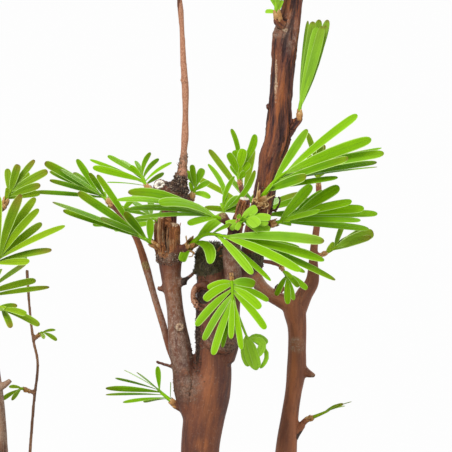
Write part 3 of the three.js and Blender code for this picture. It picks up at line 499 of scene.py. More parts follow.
class Surface(Graph):
    """The graph of one material."""

    def __init__(self, name: str) -> None:
        """Makes the material."""
        self.material = bpy.data.materials.new(name)
        self.material.use_nodes = True
        super().__init__(self.material.node_tree)

    def shaded(
        self, color: object, rough: object, specular: float, height: object, relief: float
    ) -> Material:
        """Ends the material with its shader.

        Args:
            color: Base colour.
            rough: Roughness.
            specular: Strength of its gloss.
            height: Height of its fine relief, from 0 to about 1.
            relief: Millimetres that a height of 1 stands for.

        Returns:
            The material.
        """
        bump = self.fed("ShaderNodeBump", {"Distance": relief * MM, "Height": height})
        shader = self.tree.nodes["Principled BSDF"].inputs
        self.feed(shader["Base Color"], color)
        self.feed(shader["Roughness"], rough)
        self.feed(shader["Specular IOR Level"], specular)
        self.feed(shader["Normal"], bump.outputs["Normal"])
        return self.material


# Finishes


@cache
def bark_grain() -> Effect:
    """Builds the fibres, strands, clouds and specks that follow the wood."""
    effect = Effect(
        "bark_grain",
        {"Grain": "Vector", "Place": "Vector"},
        sockets("Float", "Fibre Strand Cloud Speck Fleck"),
    )
    graph, grain, place = effect.graph, effect.given["Grain"], effect.given["Place"]
    return effect.end(
        Fibre=graph.noise(graph.scaled(grain, (1.0, 1.0, 0.08)), 1, 4, 0.7, 0.4),
        Strand=graph.noise(graph.scaled(grain, (3.2, 3.2, 0.3)), 1, 3, 0.6, 0.2),
        Cloud=graph.noise(place, 0.8, 4, 0.7),
        Speck=graph.noise(place, 3.2, 2, 0.6),
        Fleck=graph.ramp(graph.cells(graph.scaled(grain, (1.7, 1.7, 0.6)), 1), 0.3, 0.12),
    )


@cache
def smooth_bark() -> Effect:
    """Builds the soft colours of smooth bark."""
    effect = Effect(
        "smooth_bark",
        {"Grain": "Vector", "Place": "Vector", "Fleck": "Float"}
        | sockets("Color", "Deep Middle Light Gray"),
        {"Color": "Color"},
    )
    graph, given = effect.graph, effect.given
    broad = graph.noise(graph.scaled(given["Grain"], (0.3, 0.3, 0.06), (3, 7, 1)), 1, 4, 0.6, 0.5)
    streak = graph.noise(graph.scaled(given["Grain"], (0.8, 0.8, 0.07), (1, 2, 9)), 1, 3, 0.6, 0.3)
    pores = graph.noise(given["Place"], 1.7, 3, 0.7)
    color = graph.layered(
        given["Deep"],
        (graph.ramp(broad, 0.36, 0.62), given["Middle"]),
        (graph.ramp(streak, 0.45, 0.75, 0.5), given["Light"]),
        (graph.ramp(pores, 0.45, 0.32, 0.55), given["Deep"]),
        (graph.ramp(pores, 0.58, 0.72, 0.4), given["Gray"]),
        (graph.part(given["Fleck"], 0.08), given["Gray"]),
    )
    return effect.end(Color=color)


@cache
def split_bark() -> Effect:
    """Builds the strong colours of bark that has split into fibres."""
    effect = Effect(
        "split_bark",
        sockets("Float", "Fibre Strand") | sockets("Color", "Black Brown Orange Straw"),
        {"Color": "Color"},
    )
    graph, given = effect.graph, effect.given
    fibre, strand = given["Fibre"], given["Strand"]
    color = graph.layered(
        given["Black"],
        (graph.ramp(fibre, 0.34, 0.45), given["Brown"]),
        (graph.ramp(fibre, 0.45, 0.62), given["Orange"]),
        (graph.ramp(strand, 0.6, 0.74, 0.55), given["Straw"]),
        (graph.ramp(strand, 0.45, 0.3, 0.6), given["Black"]),
    )
    return effect.end(Color=color)


@cache
def torn_patch() -> Effect:
    """Builds a patch of two other colours, with a torn edge, where a mark shows."""
    effect = Effect(
        "torn_patch",
        sockets("Float", "Mark Cloud Speck Cover Torn") | sockets("Color", "Color First Second"),
        {"Color": "Color"},
    )
    graph, given = effect.graph, effect.given
    edge = graph.part(graph.math("SUBTRACT", given["Cloud"], 0.5), given["Torn"])
    share = graph.ramp(graph.math("ADD", edge, given["Mark"]), 0.34, 0.6, given["Cover"])
    own = graph.mix(graph.ramp(given["Speck"], 0.4, 0.6), given["First"], given["Second"])
    return effect.end(Color=graph.mix(share, given["Color"], own))


@dataclass(frozen=True)
class Patch:
    """How one mark colours the wood."""

    mark: Mark
    first: Color
    second: Color
    cover: float
    torn: float


@dataclass(frozen=True)
class BarkFinish:
    """Bark that is smooth on young wood and splits into fibres where it's marked so, with painted shade
    where its relief sinks and a painted highlight where it rises.
    """

    name: str
    deep: Color
    middle: Color
    light: Color
    gray: Color
    fibres: tuple[Color, Color, Color, Color] = (
        (0.024, 0.011, 0.013), (0.1, 0.033, 0.025), (0.3, 0.088, 0.026), (0.46, 0.25, 0.13),
    )
    patches: Sequence[Patch] = (
        Patch(Mark.ORANGE, (0.25, 0.08, 0.023), (0.5, 0.2, 0.06), 0.75, 1.3),
        Patch(Mark.BLUSH, (0.36, 0.15, 0.08), (0.6, 0.31, 0.19), 0.8, 0.9),
        Patch(Mark.OLIVE, (0.17, 0.1, 0.03), (0.36, 0.3, 0.1), 0.7, 1.2),
        Patch(Mark.PALE, (0.34, 0.2, 0.12), (0.6, 0.46, 0.31), 0.8, 1.1),
        # Dark bark, and painted shade in the crevices and hollows that dark spots mark.
        Patch(Mark.DARK, (0.012, 0.008, 0.006), (0.05, 0.03, 0.02), 0.92, 1.1),
        Patch(Mark.MOSS, (0.018, 0.015, 0.008), (0.095, 0.085, 0.035), 0.92, 1.1),
        Patch(Mark.CUT, (0.68, 0.58, 0.42), (0.95, 0.92, 0.85), 1.0, 0.5),
    )

    WARM = (0.42, 0.14, 0.04)
    COLLAR = (0.14, 0.085, 0.055)
    DUST = (0.4, 0.32, 0.26)
    LICHEN = (0.5, 0.38, 0.31)
    # Colour of the painted shade in the sunken centres of scars.
    PIT_SHADE = (0.05, 0.025, 0.015)

    def material(self) -> Material:
        """Makes the material."""
        graph = Surface(self.name)
        grain, place = graph.vector("grain"), graph.object_place()
        found = bark_grain().use(graph, Grain=grain, Place=place)
        fibre, strand, cloud, speck, fleck = found.values()
        split, collar, relief = (graph.number(name) for name in ("fibre", "collar", "relief"))
        skin = smooth_bark().use(
            graph, Grain=grain, Place=place, Fleck=fleck,
            Deep=self.deep, Middle=self.middle, Light=self.light, Gray=self.gray,
        )
        fibres = dict(zip(("Black", "Brown", "Orange", "Straw"), self.fibres))
        torn = split_bark().use(graph, Fibre=fibre, Strand=strand, **fibres)
        gray = graph.number("gray")
        dusty = graph.part(
            graph.math("MAXIMUM", gray, collar), graph.line(graph.ramp(cloud, 0.38, 0.65), 0.5, 0.08)
        )
        warmth = graph.part(graph.number("warm"), graph.line(graph.ramp(fibre, 0.4, 0.62), 0.3, 0.2))
        color = graph.layered(
            skin["Color"],
            (split, torn["Color"]),
            (warmth, self.WARM),
            (graph.part(collar, 0.55), self.COLLAR),
            (dusty, self.gray),
            (graph.ramp(speck, 0.56, 0.68, dusty), self.DUST),
            (graph.part(gray, graph.part(fleck, 0.3)), self.LICHEN),
            # Painted shade darkens the bark where its relief sinks into cracks and pits, and a painted
            # highlight lightens it where the relief rises.
            (graph.ramp(relief, -0.06, -0.28, 0.75), self.fibres[0]),
            (graph.ramp(relief, 0.05, 0.3, 0.3), self.light),
        )
        for patch in self.patches:
            color = torn_patch().use(
                graph, Color=color, Mark=graph.number(patch.mark.value), Cloud=cloud, Speck=speck,
                First=patch.first, Second=patch.second, Cover=patch.cover, Torn=patch.torn,
            )["Color"]
        # Painted shade in the sunken centres of the scars.
        color = graph.mix(graph.part(graph.number("pit"), 0.85), color, self.PIT_SHADE)
        coarse = graph.line(graph.math("MAXIMUM", split, collar), 0.75, 0.25)
        height = graph.line(strand, 0.8, graph.line(speck, 0.3, fibre))
        return graph.shaded(color, graph.line(fibre, -0.3, 0.68), 0.28, graph.part(height, coarse), 0.5)


SCORCH: Color = (0.16, 0.07, 0.02)


@cache
def leaflet() -> Effect:
    """Builds the greens of a leaflet from its own coordinates, with painted light on one half of it and a
    painted highlight along its edges.
    """
    effect = Effect(
        "leaflet",
        {"Blade": "Vector", "Place": "Vector", "Under": "Float", "Ripening": "Float"}
        | sockets("Color", "Shade Full Bright Ripe Sprout Rim"),
        {"Color": "Color", "Height": "Float", "Line": "Float"},
    )
    graph, given = effect.graph, effect.given
    blade = graph.add("ShaderNodeSeparateXYZ")
    graph.feed(blade.inputs[0], given["Blade"])
    across, along, tone = blade.outputs
    away = graph.math("ABSOLUTE", across)
    cloud = graph.noise(given["Place"], 0.12, 2, 0.5)
    line = graph.noise(graph.scaled(given["Blade"], (4, 0.5, 31)), 1, 2)
    ripe = graph.ramp(along, 0.62, 1, given["Ripening"])
    scorched = graph.ramp(along, 0.95, 1, given["Ripening"])
    color = graph.layered(
        given["Shade"],
        (graph.ramp(tone, 0, 0.55), given["Full"]),
        (graph.ramp(tone, 0.5, 1), given["Bright"]),
        (graph.ramp(cloud, 0.42, 0.62, 0.3), given["Bright"]),
        (graph.ramp(line, 0.4, 0.7, 0.25), given["Shade"]),
        # Painted light: the half of each leaflet on one side of its midline is lighter.
        (graph.ramp(across, -0.2, 0.5, 0.2), given["Bright"]),
        (graph.ramp(along, 0.3, 0, 0.4), given["Sprout"]),
        (graph.ramp(tone, 0.75, 0.15, ripe), given["Ripe"]),
        (graph.ramp(away, 0.1, 0.02, 0.14), given["Shade"]),
        (graph.part(given["Under"], 0.35), given["Sprout"]),
        # Painted highlight: a thin pale line along the edges, weaker on the lower side.
        (graph.ramp(away, 0.8, 0.95, graph.line(given["Under"], -0.5, 0.75)), given["Rim"]),
        (graph.ramp(tone, 0.8, 0.3, scorched), SCORCH),
    )
    height = graph.line(graph.ramp(away, 0.0, 0.2), 0.4, graph.part(line, 0.4))
    return effect.end(Color=color, Height=height, Line=line)


@dataclass(frozen=True)
class LeafFinish:
    """Flat leaflets, green by their own tone, with riper tips, thin pale edges that are a painted highlight,
    and one half painted lighter as painted light.
    """

    name: str
    shade: Color
    full: Color
    bright: Color
    ripe: Color
    ripening: float
    sprout: Color = (0.32, 0.54, 0.06)
    # Colour of the painted highlight along the edges.
    rim: Color = (0.58, 0.78, 0.24)

    def material(self) -> Material:
        """Makes the material."""
        graph = Surface(self.name)
        found = leaflet().use(
            graph, Blade=graph.vector("blade"), Place=graph.object_place(), Under=graph.number("under"),
            Ripening=self.ripening, Shade=self.shade, Full=self.full, Bright=self.bright,
            Ripe=self.ripe, Sprout=self.sprout, Rim=self.rim,
        )
        rough = graph.line(found["Line"], 0.2, 0.34)
        return graph.shaded(found["Color"], rough, 0.1, found["Height"], 0.1)


@dataclass(frozen=True)
class ToneFinish:
    """Small dry or mossy things that each have their own tone, from dark to light."""

    name: str
    dark: Color
    middle: Color
    light: Color
    relief: float = 0.15

    def material(self) -> Material:
        """Makes the material."""
        graph = Surface(self.name)
        found = mottle().use(
            graph, Place=graph.object_place(), Scale=2.4, Speckle=0.2, Dark=self.dark,
            Middle=self.middle, Light=self.light,
        )
        tone = graph.number("tone")
        color = graph.layered(
            self.dark,
            (graph.ramp(tone, 0, 0.5), self.middle),
            (graph.ramp(tone, 0.5, 1), self.light),
            (0.35, found["Color"]),
        )
        return graph.shaded(color, graph.line(found["Broad"], 0.3, 0.5), 0.3, found["Height"], self.relief)


@cache
def mottle() -> Effect:
    """Builds the clouds and specks that matt, mineral and papery surfaces share."""
    effect = Effect(
        "mottle",
        {"Place": "Vector", "Scale": "Float", "Speckle": "Float"}
        | sockets("Color", "Dark Middle Light"),
        {"Color": "Color", "Height": "Float", "Broad": "Float"},
    )
    graph, given = effect.graph, effect.given
    place, scale = given["Place"], given["Scale"]
    broad = graph.noise(place, graph.part(scale, 0.12), 3, 0.6, 0.3)
    fine = graph.noise(place, scale, 4, 0.65)
    dots = graph.cells(place, graph.part(scale, 1.4))
    color = graph.layered(
        given["Dark"],
        (graph.ramp(fine, 0.35, 0.65), given["Middle"]),
        (graph.ramp(broad, 0.42, 0.64, 0.55), given["Light"]),
        (graph.ramp(dots, 0.2, 0.08, given["Speckle"]), given["Light"]),
    )
    return effect.end(Color=color, Height=graph.line(dots, 0.4, fine), Broad=broad)


@dataclass(frozen=True)
class GroundFinish:
    """A mottled matt surface for stoneware, grit, soil, moss, mesh or the floor."""

    name: str
    dark: Color
    middle: Color
    light: Color
    scale: float
    relief: float
    rough: float = 0.85
    speckle: float = 0.3

    def material(self) -> Material:
        """Makes the material."""
        graph = Surface(self.name)
        found = mottle().use(
            graph, Place=graph.object_place(), Scale=self.scale, Speckle=self.speckle, Dark=self.dark,
            Middle=self.middle, Light=self.light,
        )
        rough = graph.line(found["Broad"], -0.2, self.rough + 0.1)
        return graph.shaded(found["Color"], rough, 0.3, found["Height"], self.relief)


# Wood


@dataclass(frozen=True)
class Spot:
    """An ellipsoid round a place on the wood, in which a mark shows."""

    mark: Mark
    center: Point
    radii: Point
    soft: float = 0.5


def spots(**groups: Sequence[tuple]) -> list[Spot]:
    """Returns the spots of rows [center, radii, softness] that are grouped by the names of their marks."""
    return [Spot(Mark(name), *row) for name, rows in groups.items() for row in rows]


@dataclass(frozen=True)
class Scar:
    """A raised ring where a twig came off, pale on its rim and dark inside, where painted shade fills its
    sunken centre.
    """

    center: Point
    radius: float
    pale: float = 1.0


@dataclass(frozen=True)
class Litter:
    """Loose bits that cling to the wood inside an ellipsoid, stretched along a direction."""

    center: Point
    radii: Point
    count: int
    size: tuple[float, float]
    stretch: Point = (1, 1, 1)
    tones: tuple[float, float] = (0, 1)
    moss: bool = False

    def bits(self, points: Array, normals: Array, chance: random.Random) -> list[Shape]:
        """Returns the bits on the wood's surface points, which face along the normals."""
        away = np.linalg.norm((points - self.center) / self.radii, axis=1)
        near = np.flatnonzero(away < 1)
        corners = np.array([(0, 0, 1), (0, 0, -0.6), (1, 0, 0), (-0.9, 0, 0.2), (0, 1, 0.1), (0, -1, -0.1)])
        faces = [(0, 2, 4), (0, 4, 3), (0, 3, 5), (0, 5, 2), (1, 4, 2), (1, 3, 4), (1, 5, 3), (1, 2, 5)]
        shapes = []
        for _ in range(self.count):
            index = near[chance.randrange(len(near))]
            uneven = np.array([[chance.uniform(0.6, 1.3)] for _ in corners])
            size = chance.uniform(*self.size)
            own = self.tones[0] + (self.tones[1] - self.tones[0]) * chance.random() ** 1.8
            if self.moss:
                up = unit(normals[index] + [chance.gauss(0, 0.4), chance.gauss(0, 0.4), 0.2])
                side = unit(np.cross(up, [0.3, 1, 0.1]))
                axes = np.array([side * 0.5, np.cross(up, side) * 0.5, up])
                turned = corners * uneven * size @ axes
            else:
                turn = Matrix.Rotation(chance.uniform(0, math.tau), 3, "Z")
                lean = Matrix.Rotation(chance.gauss(0, 0.35), 3, "Y")
                turned = (corners * uneven * size @ np.array(turn)) * self.stretch @ np.array(lean)
            place = points[index] + normals[index] * size * 0.2
            shapes.append(Shape(turned + place, faces, {"tone": np.full(len(corners), own)}))
        return shapes


@dataclass(frozen=True)
class Strand:
    """A thin fibre or thread with its own tone."""

    points: Sequence[Point]
    radius: float
    tone: float

    def shape(self) -> Shape:
        """Returns the fibre, which thins towards its end."""
        stations = Route(self.points).spaced(0.35)
        radii = self.radius * np.linspace(1, 0.45, len(stations))
        shape = tube(np.column_stack([stations, radii]), 5)
        return Shape(shape.vertices, shape.faces, {"tone": np.full(len(shape.vertices), self.tone)})


@dataclass(frozen=True)
class Splinters:
    """Fibres that stand out along split wood, on the side that faces a direction."""

    axis: Sequence[Point]
    radius: float
    count: int
    facing: float = -90
    spread: float = 85

    def strands(self, chance: random.Random) -> list[Strand]:
        """Returns the fibres."""
        route = Route(self.axis)
        made = []
        for _ in range(self.count):
            turn = math.radians(self.facing + chance.uniform(-self.spread, self.spread))
            start = chance.uniform(0, 0.45)
            shares = np.linspace(start, chance.uniform(max(0.6, start + 0.3), 1), 5)
            points = []
            for share in shares:
                out = self.radius * chance.uniform(0.92, 1.12)
                points.append(tuple(route.at(share) + [math.cos(turn) * out, math.sin(turn) * out, 0]))
            tone = chance.random() ** 1.6 * 0.85
            made.append(Strand(points, chance.uniform(0.13, 0.24), tone))
        return made


@dataclass(frozen=True)
class Wood:
    """The wood of one tree: trunk, surface roots, limbs and buds, in one grown piece."""

    tree: Tree
    trunk: Rows
    roots: tuple[Sequence[float], float, float]
    limbs: Sequence[Rows]
    spots: Sequence[Spot] = ()
    scars: Sequence[Scar] = ()
    litter: Sequence[Litter] = ()
    splinters: Sequence[Splinters] = ()
    threads: Sequence[Strand] = ()
    voxel: float = 0.415
    spacing: float = 0.8
    thinnest: float = 0.48

    BATCH = 4000
    GRAIN_SHIFT = 61
    ROOT_RISE = 24
    ROOT_STATIONS = ((0.1, 1, 1), (0.42, 0.8, 0.85), (0.75, 0.6, 0.6), (1, 0.32, 0.3))

    def surface_roots(self) -> list[list[tuple[float, ...]]]:
        """Returns the stations of the roots that run out under the soil."""
        angles, reach, radius = self.roots
        x, y, z = self.trunk[0][:3]
        rows = []
        for index, angle in enumerate(angles):
            length = reach * (1 - 0.12 * (index % 3))
            row = []
            for share, rise, thickness in self.ROOT_STATIONS:
                turn = math.radians(angle) + 0.3 * share
                out_x, out_y = math.cos(turn) * length * share, math.sin(turn) * length * share
                row.append((x + out_x, y + out_y, z + rise * self.ROOT_RISE, radius * thickness))
            rows.append(row)
        return rows

    def frames(self, buds: Sequence[Rows]) -> list[Frames]:
        """Returns every limb of the tree as closely spaced frames."""
        found = []
        for row in (self.trunk, *self.surface_roots(), *self.limbs, *buds):
            stations = Route(row).spaced(self.spacing)
            stations[:, 3] = np.maximum(stations[:, 3], self.thinnest)
            found.append(Frames.of(stations))
        return found

    def grain(self, points: Array, limbs: Sequence[Frames]) -> tuple[Array, Array]:
        """Straightens the limbs.

        Args:
            points: Places on the wood.
            limbs: Frames of all limbs.

        Returns:
            For each place its offset across the nearest limb and its length along it, and the limb's radius.
        """
        centers, radii, along, across, other = (
            np.concatenate([getattr(limb, name) for limb in limbs])
            for name in ("centers", "radii", "along", "across", "other")
        )
        shifts = self.GRAIN_SHIFT * np.arange(len(limbs))
        lengths = np.concatenate([limb.lengths + shift for limb, shift in zip(limbs, shifts)])
        nearest = np.empty(len(points), dtype=int)
        for start in range(0, len(points), self.BATCH):
            batch = slice(start, start + self.BATCH)
            away = np.linalg.norm(points[batch, None] - centers[None], axis=2) - radii
            nearest[batch] = away.argmin(axis=1)
        offset = points - centers[nearest]
        sides = [(offset * way[nearest]).sum(axis=1) for way in (across, other, along)]
        sides[2] = sides[2] + lengths[nearest]
        return np.column_stack(sides), radii[nearest]

    def marked(self, points: Array) -> dict[str, Array]:
        """Returns how strongly each mark shows at each place."""
        shown = {name: np.zeros(len(points)) for name in [*(mark.value for mark in Mark), "rim", "pit"]}
        for spot in self.spots:
            away = np.linalg.norm((points - spot.center) / spot.radii, axis=1)
            name = spot.mark.value
            shown[name] = np.maximum(shown[name], smooth_step((1 - away) / spot.soft))
        for scar in self.scars:
            away = np.linalg.norm(points - scar.center, axis=1) / scar.radius
            rim = np.exp(-(((away - 0.75) / 0.22) ** 2))
            shown["rim"] += rim
            shown["rim"] -= 1.1 * np.exp(-((away / 0.4) ** 2))
            shown[Mark.PALE.value] = np.maximum(shown[Mark.PALE.value], rim * scar.pale)
            # The sunken centre of each scar, which gets painted shade.
            shown["pit"] = np.maximum(shown["pit"], smooth_step((0.6 - away) / 0.3))
        return shown

    def relief(self, grain: Array, radii: Array, shown: dict[str, Array]) -> Array:
        """Returns the height of the bark at each place, in millimetres."""
        split, collar, moss, dark = (
            shown[mark.value] for mark in (Mark.FIBRE, Mark.COLLAR, Mark.MOSS, Mark.DARK)
        )
        heights = np.empty(len(grain))
        for index, (a, b, s) in enumerate(grain):
            ridge = noise.fractal(Vector((a * 0.6, b * 0.6, s * 0.07)), 0.8, 2.1, 3)
            height = ridge * (0.22 + 0.78 * split[index])
            if split[index]:
                crack = abs(noise.noise(Vector((a * 0.7, b * 0.7, s * 0.05 + 40))))
                plate = noise.noise(Vector((a * 0.42, b * 0.42, s * 0.05 + 90)))
                step = clamped(plate / 0.07 + 0.5) - 0.5
                height += split[index] * (step * 1.1 - max(0.0, 0.13 - crack) * 9)
            if collar[index]:
                ripple = math.sin(s * 5.0 + 6 * noise.noise(Vector((a * 0.45, b * 0.45, s * 0.3))))
                crease = noise.fractal(Vector((a * 1.3, b * 1.3, s * 1.3 + 7)), 0.7, 2.0, 3)
                height += collar[index] * (ripple * 0.6 + crease * 0.9 + 0.5)
            if moss[index] or dark[index]:
                tuft = noise.fractal(Vector((a * 1.1, b * 1.1, s * 1.1)), 0.6, 2.0, 2)
                height += max(moss[index], dark[index] * 0.7) * tuft * 1.6
            heights[index] = height
        thin = split * (radii < 2.2) * 0.13
        return heights * np.clip(radii * (0.1 + thin), 0.04, 0.38) + 0.3 * shown["rim"]

    def trimmings(self, points: Array, normals: Array, finishes: dict[str, Material]) -> None:
        """Adds the loose bits, moss and fibres on the wood.

        Args:
            points: Places on the wood's surface.
            normals: Directions that they face.
            finishes: Materials of "crumbs", "moss", "splinters" and "threads".
        """
        tree = self.tree.value
        chance = random.Random(f"{tree} trimmings")
        made: dict[str, list[Shape]] = {"crumbs": [], "moss": []}
        for litter in self.litter:
            made["moss" if litter.moss else "crumbs"] += litter.bits(points, normals, chance)
        splinters = [strand for group in self.splinters for strand in group.strands(chance)]
        made |= {
            kind: [strand.shape() for strand in strands]
            for kind, strands in (("splinters", splinters), ("threads", self.threads))
        }
        for kind, shapes in made.items():
            if shapes:
                built = Shape.joined(shapes).build(f"{tree}_tree_{kind}")
                finished(built, finishes[kind], sharp=30)

    def build(self, buds: Sequence[Rows], finish: Material, finishes: dict[str, Material]) -> None:
        """Grows the wood and what clings to it.

        Args:
            buds: Stations of the buds that its sprays stand on.
            finish: Material of the bark.
            finishes: Materials of the trimmings.
        """
        limbs = self.frames(buds)
        shapes = [
            tube(np.column_stack([limb.centers, limb.radii]), 16 if limb.radii.max() > 2 else 10)
            for limb in limbs
        ]
        tree = self.tree.value
        wood = Shape.joined(shapes).build(f"{tree}_tree_wood")
        modified(wood, "REMESH", mode="VOXEL", voxel_size=self.voxel)
        modified(wood, "SMOOTH", factor=0.5, iterations=3)
        points = read_vertices(wood)
        grain, radii = self.grain(points, limbs)
        shown = self.marked(points)
        heights = self.relief(grain, radii, shown)
        normals = read_vertices(wood, "normal")
        points = points + normals * heights[:, None]
        write_vertices(wood, points)
        for name, values in {"grain": grain, "relief": heights, **shown}.items():
            write_values(wood.data, name, values)
        finished(wood, finish, f"wood_{tree}_tree")
        self.trimmings(points, normals, finishes)


# Leaves


@dataclass(frozen=True)
class Spray:
    """One short green shoot with its leaflets, and the bud that it grows from.

    A leaflet is [place along the shoot, tip x, y, z, width, bow to the right, bow up]. All of a spray
    share a tone from 0, dark, to 1, bright, a usual turn aside in radians, and a slimness from 0 to 1.
    Young is a number of small ones more, flare opens the bud's scales, and pale ones look as from below.
    """

    name: str
    root: Point
    base: Point
    face: Point
    stem: Sequence[Point]
    leaves: Rows
    tree: Tree = Tree.CENTRAL
    bud: float = 1.0
    foot: Foot = Foot.SCALY
    tone: float = 0.5
    young: int = 1
    turned: float = 0.12
    slim: float = 0.45
    flare: float = 1
    pale: bool = False

    def route(self) -> Route:
        """Returns the route of the shoot, from its base."""
        return Route(np.array([(0, 0, 0), *self.stem]) + self.base)

    def bud_stations(self) -> list[list[float]]:
        """Returns the woody bud below the shoot, from the wood to the shoot's base."""
        heading = self.route().heading(0)
        radius = 0.95 * self.bud
        neck = np.array(self.base) - heading * 1.3
        end = np.array(self.base) - heading * 0.3
        return [[*self.root, radius], [*neck, radius * 1.1], [*end, radius * 0.7]]


def hidden_spray(
    tree: Tree, name: str, root: Point, direction: Point, reach: float, pairs: int, seed: int
) -> Spray:
    """Grows a spray that the photo can't show: pairs of leaflets that close towards the shoot's tip.

    Args:
        tree: The tree that it grows on.
        name: Name of the part's node.
        root: Where its bud starts in the wood.
        direction: Heading of the shoot.
        reach: Distance from root to base.
        pairs: Number of pairs.
        seed: Seed of its numbers.

    Returns:
        The spray.
    """
    draws = Draws(seed)
    heading = unit(np.array(direction, dtype=float))
    face = unit(np.array(TO_VIEWER if heading[2] > 0.9 else TO_SKY))
    across = unit(np.cross(heading, face))
    lift = unit(np.cross(across, heading))
    leaves = []
    for index in range(pairs):
        rise = index / (pairs - 1)
        place = 0.2 + 0.65 * rise
        angle = math.radians(70 - 40 * rise)
        for side in (-1, 1):
            length = draws.between(12, 18)
            turn = angle + draws.between(-0.15, 0.15)
            tip = heading * (9 * place + length * math.cos(turn))
            tip = tip + across * side * length * math.sin(turn)
            tip = tip + lift * length * draws.between(-0.044, 0.308)
            leaves.append((place, *tip, draws.between(1.7, 2.2)))
    leaves.append((1, *heading * 21, 2))
    base = np.array(root) + heading * reach
    stem = [tuple(heading * 4.5), tuple(heading * 9)]
    return Spray(name, root, tuple(base), tuple(face), stem, leaves, tree)


@dataclass(frozen=True)
class Blade:
    """The form of a leaflet: a flat ribbon with parallel sides, a groove above and a keel below."""

    places: Sequence[float] = (0, 0.08, 0.2, 0.36, 0.54, 0.7, 0.82, 0.9, 0.955, 0.985, 1)
    shares: Sequence[float] = (0.24, 0.4, 0.68, 0.9, 1, 1.02, 1, 0.95, 0.8, 0.55, 0.2)
    slender: Sequence[float] = (0.2, 0.28, 0.46, 0.72, 0.93, 1, 0.9, 0.74, 0.55, 0.36, 0.14)
    section: Sequence[tuple[float, float]] = (
        (-1, 0), (-0.5, 0.42), (0, 0.16), (0.5, 0.42), (1, 0), (0.45, -0.5), (0, -0.8), (-0.45, -0.5),
    )
    thickness: float = 0.36

    def bent(
        self, root: Array, tip: Array, bow: Array, width: float, face: Array, tone: float, twist: float,
        slim: float = 0,
    ) -> Shape:
        """Lays a leaflet along its bowed midline.

        Args:
            root: Where it leaves the shoot.
            tip: Its tip.
            bow: How far its middle lies off the straight line.
            width: Its full width.
            face: Direction that its upper side faces.
            tone: Its own tone of green.
            twist: Turn of its tip against its root, in radians.
            slim: From 0, blunt, to 1, slender.

        Returns:
            The closed ribbon, with its own coordinates in "blade" and its lower side in "under".
        """
        middle = (root + tip) / 2 + bow
        places = np.array(self.places)[:, None]
        points = (1 - places) ** 2 * root + 2 * places * (1 - places) * middle + places**2 * tip
        along = unit(2 * (1 - places) * (middle - root) + 2 * places * (tip - middle))
        up = unit(face - along * (along @ face)[:, None])
        side = np.cross(along, up)
        turn = (np.array(self.places) * twist)[:, None]
        up, side = up * np.cos(turn) + side * np.sin(turn), side * np.cos(turn) - up * np.sin(turn)
        section = np.array(self.section)
        shares = np.array(self.shares) * (1 - slim) + np.array(self.slender) * slim
        shares = shares[:, None, None]
        vertices = points[:, None] + side[:, None] * section[None, :, :1] * shares * width / 2
        stout = np.minimum(1, shares + 0.3)
        vertices = vertices + up[:, None] * section[None, :, 1:] * stout * self.thickness / 2
        rings, sides = len(self.places), len(self.section)
        faces = [(face[0], *face[:0:-1]) for face in skin(rings, sides)]
        blade = np.empty((rings, sides, 3))
        blade[..., 0] = section[None, :, 0]
        blade[..., 1] = places
        blade[..., 2] = tone
        under = np.tile(section[:, 1] < 0, rings).astype(float)
        return Shape(vertices.reshape(-1, 3), faces, {"blade": blade.reshape(-1, 3), "under": under})


@dataclass(frozen=True)
class Foliage:
    """Dresses sprays: a slim shoot, its leaflets and a few young ones near its base."""

    blade: Blade = Blade()

    GREEN_STALK = (0.5, 0.3, 0.75)

    def stalk(self, spray: Spray) -> Shape:
        """Returns the slim green shoot, with the stalk below it where that is green too."""
        route = spray.route()
        thick = 0.3 + 0.3 * spray.bud
        if spray.foot is Foot.GREEN:
            route, thick = Route([spray.root, *route.points]), 0.34
        stations = route.spaced(0.7)
        radii = np.linspace(thick, 0.3, len(stations))
        radii[[0, -1]] *= 0.55
        shape = tube(np.column_stack([stations, radii]), 8)
        count = len(shape.vertices)
        values = {"blade": np.tile(self.GREEN_STALK, (count, 1)), "under": np.zeros(count)}
        return Shape(shape.vertices, shape.faces, values)

    def build(self, spray: Spray, finish: Material) -> None:
        """Builds one spray."""
        chance = random.Random(spray.name)
        route = spray.route()
        face = unit(np.array(spray.face, dtype=float))
        shapes = [self.stalk(spray)]
        for place, x, y, z, width, *bow in spray.leaves:
            bow_x, bow_z = bow or (0, 0.5)
            root = route.at(place * 0.9)
            tip = np.array([x, y, z]) + spray.base
            tip = tip - unit(tip - root) * 0.2
            own = clamped(spray.tone + chance.uniform(-0.28, 0.28))
            twist = chance.uniform(-0.35, 0.35)
            turn = chance.gauss(0, spray.turned)
            aside = np.cross(unit(tip - root), face)
            upper = face * math.cos(turn) + aside * math.sin(turn)
            slim = clamped(spray.slim + chance.uniform(-0.4, 0.4))
            bow_at = np.array([bow_x, 0, bow_z])
            shapes.append(self.blade.bent(root, tip, bow_at, width, upper, own, twist, slim))
        for _ in range(spray.young):
            root = route.at(chance.uniform(0.02, 0.3))
            aside = unit(np.array([chance.gauss(0, 1), chance.gauss(0, 1), chance.gauss(0, 1)]))
            way = unit(route.heading(0) * chance.uniform(0.6, 1.2) + aside * 0.6)
            tip = root + way * chance.uniform(2.4, 5)
            bow_at, width = np.array([0, 0, 0.3]), chance.uniform(0.9, 1.3)
            shapes.append(self.blade.bent(root, tip, bow_at, width, face, 0.9, 0.2))
        joined = Shape.joined(shapes)
        if spray.pale:
            joined.values["under"][:] = 1
        built = joined.build(f"{spray.name}_leaves")
        finished(built, finish, spray.name, sharp=50)


